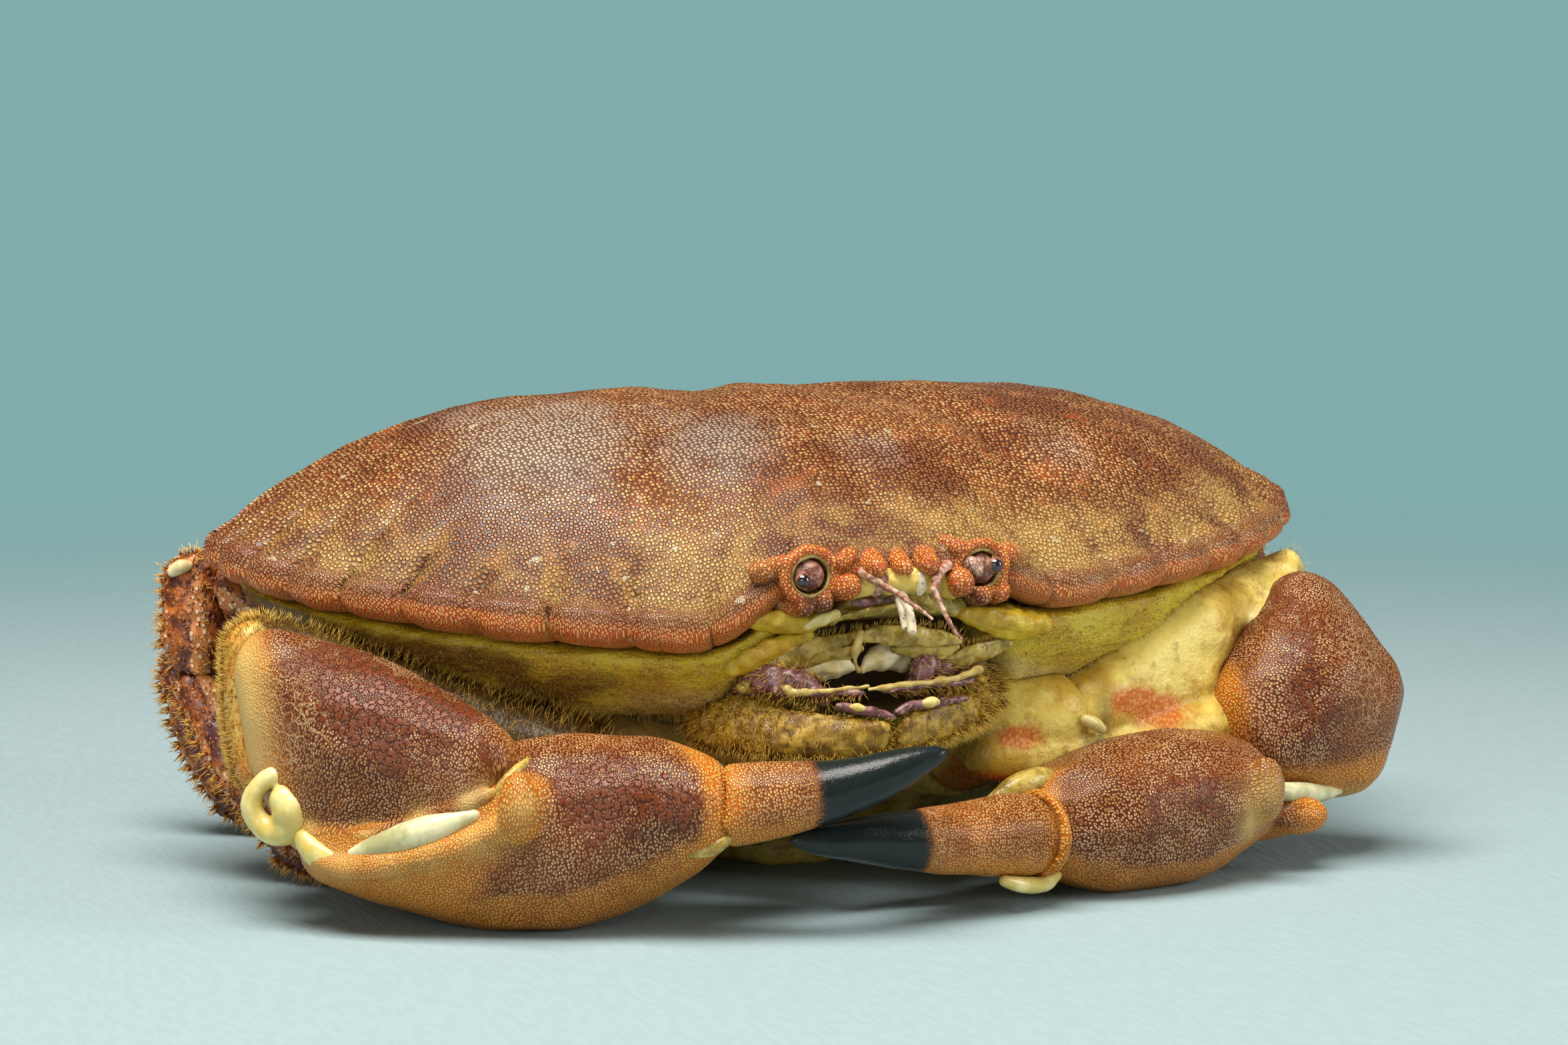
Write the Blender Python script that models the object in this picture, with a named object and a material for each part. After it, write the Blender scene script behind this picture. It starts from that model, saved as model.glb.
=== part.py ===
"""A life-size brown crab at rest, claws folded in front of the mouth and walking legs folded at the sides.

The frame is the crab's own: +Z up, the crab faces -Y, its left side is +X, and the origin lies on the floor
under the middle of the body. Shapes are worked out in millimetres and put on their objects in metres.
"""

import math

import bmesh
import bpy
from mathutils import Matrix, Vector

MM = 0.001
GAP = 0.4
JOINT_GAP = 0.55

# Body, seen from above
SHELL_WIDTH = 180.0
SHELL_FRONT = 58.0
SHELL_REAR = 49.0
WIDEST_Y = 2.0
HALF = SHELL_WIDTH / 2
FRONT_DEPTH = SHELL_FRONT + WIDEST_Y
REAR_DEPTH = 53.0
FRONT_FULLNESS = 1.82
REAR_FULLNESS = 1.5

# Body, seen from the side
SHELL_TOP = 73.6
BROW_HEIGHT = 51.0
CHEEK_RIGHT = 41.6
CHEEK_LEFT = 45.6
TIP_RIGHT = 50.5
TIP_LEFT = 54.0
REAR_HEIGHT = 42.0
RIM_UNDER = 3.0
CEILING = 46.0
BELLY = 6.5

# Edge of the shell
EDGE_LOBES = 10
LOBE_START = math.radians(12.0)
LOBE_DEPTH = 2.4
EYE_X = 13.4
EYE_Y = -56.6
EYE_Z = 50.3
ORBIT_RADIUS = 3.4
EYE_RADIUS = 2.5

# Abdomen, folded flat under the body
APRON_THICKNESS = 6.4

SHELL_BROWN = (0.33, 0.11, 0.04)
HORN_BLACK = (0.012, 0.012, 0.015)
CREAM = (0.62, 0.52, 0.2)
LEG_BROWN = (0.28, 0.085, 0.03)
FRINGE_GOLD = (0.42, 0.28, 0.05)
LIP_PURPLE = (0.16, 0.05, 0.12)


def clear_scene():
    for obj in list(bpy.data.objects):
        bpy.data.objects.remove(obj, do_unlink=True)


def material(name, colour, roughness):
    made = bpy.data.materials.get(name)
    if made is None:
        made = bpy.data.materials.new(name)
        made.use_nodes = True
        shader = made.node_tree.nodes["Principled BSDF"]
        shader.inputs["Base Color"].default_value = (*colour, 1.0)
        shader.inputs["Roughness"].default_value = roughness
        shader.inputs["Metallic"].default_value = 0.0
    return made


def smoothstep(low, high, value):
    t = min(1.0, max(0.0, (value - low) / (high - low)))
    return t * t * (3 - 2 * t)


def mix(a, b, t):
    return a + (b - a) * t


def bell(distance, width):
    return math.exp(-((distance / width) ** 2))


def put(name, bm, look):
    """A mesh in millimetres becomes a named object in metres."""
    bmesh.ops.scale(bm, vec=(MM, MM, MM), verts=bm.verts)
    bmesh.ops.recalc_face_normals(bm, faces=bm.faces)
    mesh = bpy.data.meshes.new(name)
    bm.to_mesh(mesh)
    bm.free()
    mesh.shade_smooth()
    mesh.materials.append(look)
    obj = bpy.data.objects.new(name, mesh)
    bpy.context.scene.collection.objects.link(obj)
    return obj


def settle(obj):
    """Applies every modifier of an object."""
    graph = bpy.context.evaluated_depsgraph_get()
    mesh = bpy.data.meshes.new_from_object(obj.evaluated_get(graph))
    obj.modifiers.clear()
    obj.data = mesh
    return obj


def keep_largest(obj):
    """Keeps the closed surface with the most volume and drops scraps and sealed hollows."""
    bm = bmesh.new()
    bm.from_mesh(obj.data)
    bmesh.ops.triangulate(bm, faces=bm.faces)
    unseen = set(bm.faces)
    shells = []
    while unseen:
        stack = [unseen.pop()]
        shell = []
        while stack:
            face = stack.pop()
            shell.append(face)
            for edge in face.edges:
                for other in edge.link_faces:
                    if other in unseen:
                        unseen.remove(other)
                        stack.append(other)
        shells.append(shell)

    def volume(shell):
        return sum(f.verts[0].co.dot(f.verts[1].co.cross(f.verts[2].co)) for f in shell)

    shells.sort(key=volume, reverse=True)
    scraps = [face for shell in shells[1:] for face in shell]
    bmesh.ops.delete(bm, geom=scraps, context="FACES")
    bm.to_mesh(obj.data)
    bm.free()
    return obj


def decimate(obj, triangles):
    """Brings a mesh down to about this many triangles."""
    obj.data.calc_loop_triangles()
    count = len(obj.data.loop_triangles)
    if count > triangles:
        thin = obj.modifiers.new("thin", "DECIMATE")
        thin.ratio = triangles / count
        thin.use_collapse_triangulate = True
        settle(obj)
    return obj


def swollen(obj, amount):
    """A copy that stands proud of the object by this many millimetres, for cutting room for it."""
    copy = bpy.data.objects.new(obj.name + "_room", obj.data.copy())
    bpy.context.scene.collection.objects.link(copy)
    grow = copy.modifiers.new("grow", "DISPLACE")
    grow.strength = amount * MM
    grow.mid_level = 0.0
    settle(copy)
    return copy


def boolean(obj, others, operation):
    """One Boolean with a collection of closed meshes, which are then removed."""
    tools = bpy.data.collections.new("tools")
    for other in others:
        tools.objects.link(other)
    step = obj.modifiers.new(operation.lower(), "BOOLEAN")
    step.operand_type = "COLLECTION"
    step.collection = tools
    step.operation = operation
    step.solver = "EXACT"
    bpy.context.view_layer.update()
    settle(obj)
    for other in others:
        bpy.data.objects.remove(other, do_unlink=True)
    bpy.data.collections.remove(tools)
    return keep_largest(obj)


def make_room(obj, neighbours, amount=GAP):
    """Cuts a socket for each neighbour, so that the two meet face to face across a thin gap."""
    return boolean(obj, [swollen(other, amount) for other in neighbours], "DIFFERENCE")


def rest_on_floor(obj):
    """Planes off what dips below the floor, which leaves a small flat there."""
    bm = bmesh.new()
    bm.from_mesh(obj.data)
    geometry = bm.verts[:] + bm.edges[:] + bm.faces[:]
    cut = bmesh.ops.bisect_plane(
        bm, geom=geometry, dist=1e-7, plane_co=(0, 0, 0), plane_no=(0, 0, -1), clear_outer=True
    )
    rim = [item for item in cut["geom_cut"] if isinstance(item, bmesh.types.BMEdge)]
    if rim:
        bmesh.ops.holes_fill(bm, edges=rim, sides=0)
        bmesh.ops.triangulate(bm, faces=bm.faces)
    bm.to_mesh(obj.data)
    bm.free()
    return obj


def facing(start, end, up):
    """The placing of a limb: its X axis from start to end, its Z axis near up."""
    start = Vector(start)
    along = (Vector(end) - start).normalized()
    side = Vector(up).cross(along).normalized()
    over = along.cross(side)
    turn = Matrix((along, side, over)).transposed().to_4x4()
    return Matrix.Translation(start) @ turn


def add_hull(bm, balls):
    """The rounded body stretched over some balls, each given as x, y, z, radius."""
    skin = bmesh.new()
    for x, y, z, radius in balls:
        place = Matrix.Translation((x, y, z))
        bmesh.ops.create_icosphere(skin, subdivisions=2, radius=radius, matrix=place)
    hull = bmesh.ops.convex_hull(skin, input=skin.verts)
    loose = [v for v in hull["geom_interior"] if isinstance(v, bmesh.types.BMVert)]
    bmesh.ops.delete(skin, geom=loose, context="VERTS")
    mesh = bpy.data.meshes.new("hull")
    skin.to_mesh(mesh)
    skin.free()
    bm.from_mesh(mesh)
    bpy.data.meshes.remove(mesh)


def grown(name, hulls, place, squash, look, triangles, voxel=0.8, rounds=4):
    """A rounded organic body: hulls over balls, melted into one skin, smoothed and brought to its budget."""
    bm = bmesh.new()
    for balls in hulls:
        add_hull(bm, balls)
    bmesh.ops.transform(bm, matrix=place @ Matrix.Diagonal((*squash, 1.0)), verts=bm.verts)
    if (place.to_3x3().determinant() * squash[0] * squash[1] * squash[2]) < 0:
        bmesh.ops.reverse_faces(bm, faces=bm.faces)
    mesh = bpy.data.meshes.new(name)
    bmesh.ops.scale(bm, vec=(MM, MM, MM), verts=bm.verts)
    bm.to_mesh(mesh)
    bm.free()
    mesh.materials.append(look)
    obj = bpy.data.objects.new(name, mesh)
    bpy.context.scene.collection.objects.link(obj)
    melt = obj.modifiers.new("melt", "REMESH")
    melt.mode = "VOXEL"
    melt.voxel_size = voxel * MM
    soften = obj.modifiers.new("soften", "SMOOTH")
    soften.factor = 0.5
    soften.iterations = rounds
    settle(obj)
    keep_largest(obj)
    decimate(obj, triangles)
    obj.data.shade_smooth()
    return obj


def small_lump(name, balls, look):
    return grown(name, [balls], Matrix(), (1, 1, 1), look, 56, 0.4, 1)


def mirrored(balls, side):
    return [(x * side, y, z, radius) for x, y, z, radius in balls]


def chain(balls):
    """Hulls over each ball and the next, for a limb that bends."""
    return [[a, b] for a, b in zip(balls, balls[1:])]


# The shell's outline and heights


def outline(turn):
    """The shell's edge from above, on the crab's left side, at a turn from 0 in front to pi at the rear."""
    s, c = math.sin(turn), math.cos(turn)
    if c >= 0:
        power = 2 / FRONT_FULLNESS
        return Vector((HALF * s**power, WIDEST_Y - FRONT_DEPTH * c**power))
    power = 2 / REAR_FULLNESS
    y = WIDEST_Y + REAR_DEPTH * abs(c) ** power
    flat = SHELL_REAR - 2.0
    if y > flat:
        y = flat + (y - flat) * 0.35
    return Vector((HALF * abs(s) ** power, y))


def rim_height(turn, side):
    """The height of the shell's edge: high at brow and side tip, low at the cheek and behind."""
    degrees = math.degrees(turn)
    cheek, tip, rise = (CHEEK_LEFT, TIP_LEFT, 1.1) if side > 0 else (CHEEK_RIGHT, TIP_RIGHT, 1.25)
    if degrees < 22:
        return mix(BROW_HEIGHT, cheek, smoothstep(8.5, 22, degrees))
    if degrees < 92:
        return mix(cheek, tip, ((degrees - 22) / 70) ** rise)
    return mix(tip, REAR_HEIGHT, smoothstep(92, 165, degrees))


def lobe_wave(turn):
    """0 on the crest of an edge lobe and 1 in the cleft between two, with no lobes at front or rear."""
    end = math.radians(93)
    if not LOBE_START < turn < end:
        return 0.0
    step = (turn - LOBE_START) / (end - LOBE_START) * EDGE_LOBES
    return 1 - abs(math.sin(math.pi * step)) ** 0.4


def relief(x, y):
    """The low swellings and grooves of the back, in millimetres."""
    x = abs(x)
    swell = 0.7 * bell(math.hypot(x - 48, y + 4), 20) + 0.9 * bell(math.hypot(x, y + 8), 11)
    swell += 1.0 * bell(math.hypot(x - 13, y + 30), 10) + 0.5 * bell(math.hypot(x - 34, y + 28), 9)
    swell += 0.7 * bell(math.hypot(x, y - 18), 9)
    neck = abs((x - 19) + (y + 12) * 0.5)
    swell -= 1.3 * bell(neck, 4.5) * smoothstep(-44, -26, y) * (1 - smoothstep(4, 26, y))
    swell -= 0.6 * bell(math.hypot(x - 9, y - 6), 5.5)
    swell -= 0.5 * bell(x, 2.5) * bell(y + 46, 10)
    return swell


def dome(r, turn, x, y):
    """The height of the back at a share r of the way out to the edge."""
    rim = rim_height(turn, x)
    fullness = 2.45 + 1.1 * math.sin(turn) ** 2
    height = rim + 1.4 + (SHELL_TOP - rim - 1.4) * (1 - r**fullness)
    fade = 1 - smoothstep(0.8, 0.97, r)
    bead = 1.0 * bell(r - 0.975, 0.02) - 0.7 * bell(r - 0.925, 0.022)
    return height + relief(x, y) * fade + bead * (1 - smoothstep(1.75, 2.1, turn))


def turns():
    """Turns round the edge, close together at the front teeth and lobes, wide behind."""
    front = [LOBE_START * i / 8 for i in range(8)]
    lobes = EDGE_LOBES * 6
    side = [mix(LOBE_START, math.radians(93), i / lobes) for i in range(lobes)]
    rear = [mix(math.radians(93), math.pi, (i / 16) ** 0.9) for i in range(17)]
    half = front + side + rear
    return [(t, 1) for t in half] + [(t, -1) for t in reversed(half[1:-1])]


def shell_point(r, turn, side, height):
    edge = outline(turn)
    middle = Vector((0, WIDEST_Y))
    flat = middle + (edge - middle) * r
    return Vector((flat.x * side, flat.y, height))


def closed_from_rings(rings, bottom, top):
    """A closed mesh from rings of points and one point to close each end."""
    bm = bmesh.new()
    rows = [[bm.verts.new(p) for p in ring] for ring in rings]
    for low, high in zip(rows, rows[1:]):
        for i in range(len(low)):
            j = (i + 1) % len(low)
            bm.faces.new((low[i], low[j], high[j], high[i]))
    for row, point in ((rows[0], bottom), (rows[-1], top)):
        hub = bm.verts.new(point)
        for i in range(len(row)):
            bm.faces.new((row[i], row[(i + 1) % len(row)], hub))
    bmesh.ops.recalc_face_normals(bm, faces=bm.faces)
    return bm


def ceiling(r, turn, side):
    """The height of the shell's hidden underside."""
    return mix(CEILING, rim_height(turn, side) - RIM_UNDER, smoothstep(0.5, 0.93, r))


def shell_blank(depth):
    """The closed back shell before its trim, from the underside round the edge and up the back."""
    around = turns()
    rings = []
    for r in (0.5, 0.8, 0.93):
        rings.append([shell_point(r, t, s, ceiling(r, t, s)) for t, s in around])
    for r, drop in ((0.972, -2.6), (0.99, -1.4), (1.0, 0.0), (0.993, 1.6)):
        ring = []
        for t, s in around:
            notch = lobe_wave(t) * depth / LOBE_DEPTH
            share = r - notch * LOBE_DEPTH / 75
            ring.append(shell_point(share, t, s, rim_height(t, s) + drop - 0.4 * notch))
        rings.append(ring)
    for r in (0.975, 0.95, 0.925, 0.89, 0.84, 0.77, 0.68, 0.57, 0.45, 0.32, 0.18):
        ring = []
        for t, s in around:
            notch = lobe_wave(t) * smoothstep(0.86, 0.98, r) * depth / LOBE_DEPTH
            point = shell_point(r, t, s, 0)
            point.z = dome(r, t, point.x, point.y) - 1.3 * notch
            ring.append(point)
        rings.append(ring)
    crown = dome(0, 0, 0, WIDEST_Y)
    return closed_from_rings(rings, (0, WIDEST_Y, CEILING), (0, WIDEST_Y, crown))


def brow_ring(side, look):
    """The raised rim round an eye socket."""
    bm = bmesh.new()
    steps, sides = 12, 6
    loops = []
    for i in range(steps):
        a = math.tau * i / steps
        out = Vector((math.cos(a), 0, math.sin(a)))
        loop = []
        for k in range(sides):
            b = math.tau * k / sides
            loop.append(bm.verts.new(out * (4.4 + 1.3 * math.cos(b)) + Vector((0, 2.4 * math.sin(b), 0))))
        loops.append(loop)
    for i in range(steps):
        a, b = loops[i], loops[(i + 1) % steps]
        for k in range(sides):
            bm.faces.new((a[k], a[(k + 1) % sides], b[(k + 1) % sides], b[k]))
    bmesh.ops.translate(bm, vec=(side * EYE_X, EYE_Y + 0.7, EYE_Z), verts=bm.verts)
    return put(f"brow{side}", bm, look)


TEETH = ((0.0, -59.8, 51.2, 1.7), (4.6, -58.8, 51.6, 2.0), (-4.6, -58.8, 51.6, 2.0))
ORBIT_LOBES = (
    ((8.9, -57.6, 47.9, 2.3), (9.6, -54.0, 47.4, 2.2)),
    ((12.6, -57.6, 45.5, 1.8), (12.8, -53.0, 46.0, 2.2)),
    ((15.9, -57.0, 45.4, 1.9), (16.4, -52.0, 46.0, 2.6)),
)


def build_carapace():
    """The back shell: dome, pie-crust edge, front teeth, brows and eye sockets."""
    look = material("shell_brown", SHELL_BROWN, 0.45)
    shell = decimate(put("carapace", shell_blank(LOBE_DEPTH), look), 3400)
    trim = []
    for x, y, z, radius in TEETH:
        trim.append(small_lump(f"tooth{x}", [(x, y, z, radius), (x, y + 6, z + 1, radius + 0.6)], look))
    for side in (1, -1):
        trim.append(brow_ring(side, look))
        for k, balls in enumerate(ORBIT_LOBES):
            trim.append(small_lump(f"lobe{side}{k}", mirrored(balls, side), look))
    boolean(shell, trim, "UNION")
    decimate(shell, 3000)
    sockets = []
    for side in (1, -1):
        bm = bmesh.new()
        place = Matrix.Translation((side * EYE_X, EYE_Y - 0.6, EYE_Z))
        bmesh.ops.create_icosphere(bm, subdivisions=2, radius=ORBIT_RADIUS, matrix=place)
        sockets.append(put(f"socket{side}", bm, look))
    return boolean(shell, sockets, "DIFFERENCE")


# Under the shell


def under_height(r, turn, side):
    """The height of the underside at a share r of the way out: cheeks in front, leg hollows behind."""
    degrees = math.degrees(turn)
    cheek = mix(27.5, 31.5, smoothstep(35, 72, degrees))
    behind = mix(39.0, 22.0, smoothstep(130, 175, degrees))
    low = mix(cheek, behind, smoothstep(72, 92, degrees))
    top = rim_height(turn, side) - RIM_UNDER + 0.6
    outer, inner, edge = 0.955, 0.74, 0.42
    if r >= inner:
        u = (r - inner) / (outer - inner)
        return mix(low, top, 1 - (1 - u**1.6) ** (1 / 1.6))
    hollow = low + 1.5 * smoothstep(inner, inner - 0.06, r)
    return mix(hollow, BELLY, smoothstep(0.66, edge, r)) if r > edge else BELLY


def mouth_hollow(look):
    """The open mouth as a solid to take away: narrow under the brow and wide below."""
    hulls = [
        [
            (13.0, -46.0, 40.0, 2.5),
            (-13.0, -46.0, 40.0, 2.5),
            (13.0, -66.0, 41.5, 2.5),
            (-13.0, -66.0, 41.5, 2.5),
            (19.0, -43.0, 29.0, 4.0),
            (-19.0, -43.0, 29.0, 4.0),
            (27.0, -66.0, 30.0, 4.0),
            (-27.0, -66.0, 30.0, 4.0),
            (19.0, -45.0, 12.0, 4.0),
            (-19.0, -45.0, 12.0, 4.0),
            (30.0, -66.0, 12.0, 4.0),
            (-30.0, -66.0, 12.0, 4.0),
        ]
    ]
    return grown("mouth", hulls, Matrix(), (1, 1, 1), look, 220, 1.2)


def brow_room(side, look):
    """Room under the shell for its brow and the lobes below the eye."""
    hulls = [[(EYE_X, EYE_Y + 0.7, EYE_Z, 6.7)]]
    hulls += [[(x, y, z, radius + 1.1) for x, y, z, radius in pair] for pair in ORBIT_LOBES]
    hulls = [mirrored(balls, side) for balls in hulls]
    return grown(f"brow_room{side}", hulls, Matrix(), (1, 1, 1), look, 150, 0.5, 1)


def build_underside():
    """The body under the shell, parted into two cheeks and the breast between them."""
    half = [math.radians(d) for d in range(0, 181, 6)]
    around = [(t, 1) for t in half] + [(t, -1) for t in reversed(half[1:-1])]
    rings = []
    for r in (0.2, 0.42, 0.5, 0.58, 0.66, 0.71, 0.75, 0.8, 0.85, 0.9, 0.94, 0.955):
        rings.append([shell_point(r, t, s, under_height(r, t, s)) for t, s in around])
    for r in (0.93, 0.8, 0.5):
        rings.append([shell_point(r, t, s, ceiling(r, t, s) + 0.6) for t, s in around])
    bm = closed_from_rings(rings, (0, WIDEST_Y, BELLY), (0, WIDEST_Y, CEILING + 0.6))
    look = material("cream", CREAM, 0.4)
    body = put("breast", bm, look)
    shell = put("blank", shell_blank(0.0), look)
    make_room(body, [shell], JOINT_GAP)
    bpy.data.objects.remove(shell, do_unlink=True)
    boolean(body, [mouth_hollow(look), brow_room(1, look), brow_room(-1, look)], "DIFFERENCE")
    cheeks = []
    for name, side in (("cheek_right", -1), ("cheek_left", 1)):
        cheek = bpy.data.objects.new(name, body.data.copy())
        bpy.context.scene.collection.objects.link(cheek)
        cheeks.append(boolean(cheek, [breast_block(0.0, -side, look)], "DIFFERENCE"))
    boolean(body, [breast_block(-GAP, 0, look)], "INTERSECT")
    return body, cheeks


def breast_block(grow, keep_off, look):
    """An upright block with the breast's plan; keep_off spreads it over all of one side of the body."""
    plan = [(15.0 + grow, -75.0), (15.0 + grow, -45.0)]
    width, depth = 47.0 + grow, 38.0 + grow
    for i in range(11):
        a = math.radians(mix(-50, 48, i / 10))
        plan.append((width * math.cos(a), depth * math.sin(a)))
    plan.append((33.0 + grow, 62.0))
    if keep_off:
        plan = plan if keep_off < 0 else [(-x, y) for x, y in plan]
        far = 110.0 * keep_off
        plan = plan + [(far, 62.0), (far, -75.0)]
    else:
        plan = plan + [(-x, y) for x, y in reversed(plan)]
    bm = bmesh.new()
    floor = bm.faces.new([bm.verts.new((x, y, -5.0)) for x, y in plan])
    top = bmesh.ops.extrude_face_region(bm, geom=[floor])
    lifted = [v for v in top["geom"] if isinstance(v, bmesh.types.BMVert)]
    bmesh.ops.translate(bm, vec=(0, 0, 90.0), verts=lifted)
    return put("block", bm, look)


def build_abdomen(breast):
    """The broad flap that folds forward under the body and lies flat on the floor."""
    half = APRON_THICKNESS / 2
    low = half - 0.7
    rows = (
        (4.0, -15.0, low),
        (11.0, -4.0, low),
        (16.5, 9.0, low),
        (18.5, 21.0, low),
        (18.0, 31.0, low + 3.0),
        (15.5, 39.0, low + 10.0),
        (13.0, 45.0, low + 20.0),
        (11.0, 49.0, low + 29.0),
    )
    pairs = [[(-x, y, z, half), (x, y, z, half)] for x, y, z in rows]
    hulls = [a + b for a, b in zip(pairs, pairs[1:])]
    apron = grown("abdomen", hulls, Matrix(), (1, 1, 1), material("cream", CREAM, 0.4), 420)
    make_room(apron, [breast])
    return rest_on_floor(apron)


# Face


def build_eye(name, side):
    """The stub of an eyestalk in its socket, with the cornea low on its outer side."""
    look = material("eye_dark", HORN_BLACK, 0.2)
    ball = (EYE_X, EYE_Y + 0.1, EYE_Z, EYE_RADIUS)
    cornea = (EYE_X + 0.9, EYE_Y - 0.6, EYE_Z - 0.6, 1.7)
    return grown(name, [mirrored([ball, cornea], side)], Matrix(), (1, 1, 1), look, 110, 0.35, 2)


def build_feeler(name, points, look, triangles):
    return grown(name, chain(points), Matrix(), (1, 1, 1), look, triangles, 0.3, 1)


def build_face():
    """Eyes, feelers, mandibles, inner mouthparts and the two outer jaw flaps that hang open."""
    brown = material("leg_brown", LEG_BROWN, 0.5)
    cream = material("cream", CREAM, 0.4)
    gold = material("fringe_gold", FRINGE_GOLD, 0.7)
    purple = material("lip_purple", LIP_PURPLE, 0.4)
    nodes = [build_eye("eye_right", -1), build_eye("eye_left", 1)]
    right = [(-5.2, -55.0, 48.6, 1.5), (-5.4, -58.4, 49.0, 1.0), (-4.1, -60.2, 48.4, 0.75)]
    right += [(-2.5, -61.6, 47.5, 0.6), (1.2, -63.5, 45.0, 0.5), (2.8, -64.5, 43.8, 0.4)]
    left = [
        (6.8, -55.0, 48.6, 1.5),
        (6.8, -58.4, 49.4, 1.0),
        (5.0, -60.2, 48.4, 0.75),
        (4.4, -61.0, 47.4, 0.6),
    ]
    left += [(5.3, -62.0, 45.0, 0.5), (6.2, -63.0, 42.4, 0.45), (7.8, -63.4, 40.2, 0.4)]
    nodes.append(build_feeler("antenna_right", right, brown, 150))
    nodes.append(build_feeler("antenna_left", left, brown, 150))
    right = [(-1.6, -55.5, 47.4, 1.3), (-0.9, -59.0, 46.2, 1.0), (0.4, -61.6, 42.0, 0.5)]
    left = [(2.6, -55.5, 47.4, 1.3), (2.4, -57.6, 47.0, 0.9), (1.8, -58.6, 47.6, 0.6)]
    nodes.append(build_feeler("antennule_right", right, purple, 90))
    nodes.append(build_feeler("antennule_left", left, purple, 90))
    right = [[(-10.0, -41.5, 35.5, 3.8), (-4.6, -51.5, 36.3, 2.4)]]
    left = [[(8.5, -41.5, 35.5, 3.8), (1.4, -51.5, 36.6, 2.4)]]
    nodes.append(grown("mandible_right", right, Matrix(), (1, 1, 1), cream, 110, 0.6, 2))
    nodes.append(grown("mandible_left", left, Matrix(), (1, 1, 1), cream, 110, 0.6, 2))
    right = [
        (-21.0, -44.0, 34.5, 3.4),
        (-18.0, -52.5, 34.6, 2.4),
        (-14.6, -55.4, 34.8, 1.9),
        (-11.0, -56.0, 32.0, 1.3),
    ]
    rod = [(-17.5, -54.5, 33.4, 1.2), (-14.0, -57.0, 33.1, 0.7), (-5.8, -60.0, 33.2, 0.45)]
    nodes.append(grown("palp_right", chain(right) + chain(rod), Matrix(), (1, 1, 1), purple, 220, 0.4, 1))
    left = [
        (16.5, -44.0, 35.0, 3.4),
        (10.5, -51.5, 35.4, 2.4),
        (5.2, -55.4, 36.0, 2.0),
        (3.4, -55.6, 32.6, 1.3),
    ]
    rod = [(13.5, -52.5, 34.4, 1.2), (12.4, -56.0, 33.6, 0.7), (-3.8, -60.0, 33.2, 0.45)]
    nodes.append(grown("palp_left", chain(left) + chain(rod), Matrix(), (1, 1, 1), purple, 220, 0.4, 1))
    right = [
        [(-22.5, -38.0, 27.5, 4.5), (-24.5, -45.5, 27.0, 3.6), (-22.0, -46.5, 30.5, 2.0)],
        [
            (-24.5, -45.5, 27.0, 3.6),
            (-22.0, -46.5, 30.5, 2.0),
            (-17.5, -55.0, 26.0, 2.8),
            (-14.5, -57.0, 29.0, 1.4),
        ],
        [
            (-17.5, -55.0, 26.0, 2.8),
            (-14.5, -57.0, 29.0, 1.4),
            (-9.5, -59.5, 25.8, 2.4),
            (-8.0, -60.5, 28.6, 1.2),
        ],
        [
            (-9.5, -59.5, 25.8, 2.4),
            (-8.0, -60.5, 28.6, 1.2),
            (-4.6, -61.0, 26.0, 1.6),
            (-3.6, -61.5, 28.4, 1.1),
        ],
    ]
    left = [
        [(17.0, -38.0, 27.5, 4.5), (18.5, -46.0, 30.0, 3.2), (17.0, -47.0, 33.0, 1.8)],
        [
            (18.5, -46.0, 30.0, 3.2),
            (17.0, -47.0, 33.0, 1.8),
            (11.5, -54.0, 28.5, 2.8),
            (12.0, -55.0, 30.4, 1.4),
        ],
        [
            (11.5, -54.0, 28.5, 2.8),
            (12.0, -55.0, 30.4, 1.4),
            (4.0, -58.5, 27.0, 2.4),
            (4.4, -59.4, 29.8, 1.2),
        ],
        [
            (4.0, -58.5, 27.0, 2.4),
            (4.4, -59.4, 29.8, 1.2),
            (-0.2, -60.8, 26.2, 1.6),
            (0.4, -61.2, 29.0, 1.1),
        ],
    ]
    nodes.append(grown("maxilliped_right", right, Matrix(), (1, 1, 1), gold, 330, 0.6, 2))
    nodes.append(grown("maxilliped_left", left, Matrix(), (1, 1, 1), gold, 330, 0.6, 2))
    return nodes


# Claws

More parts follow.
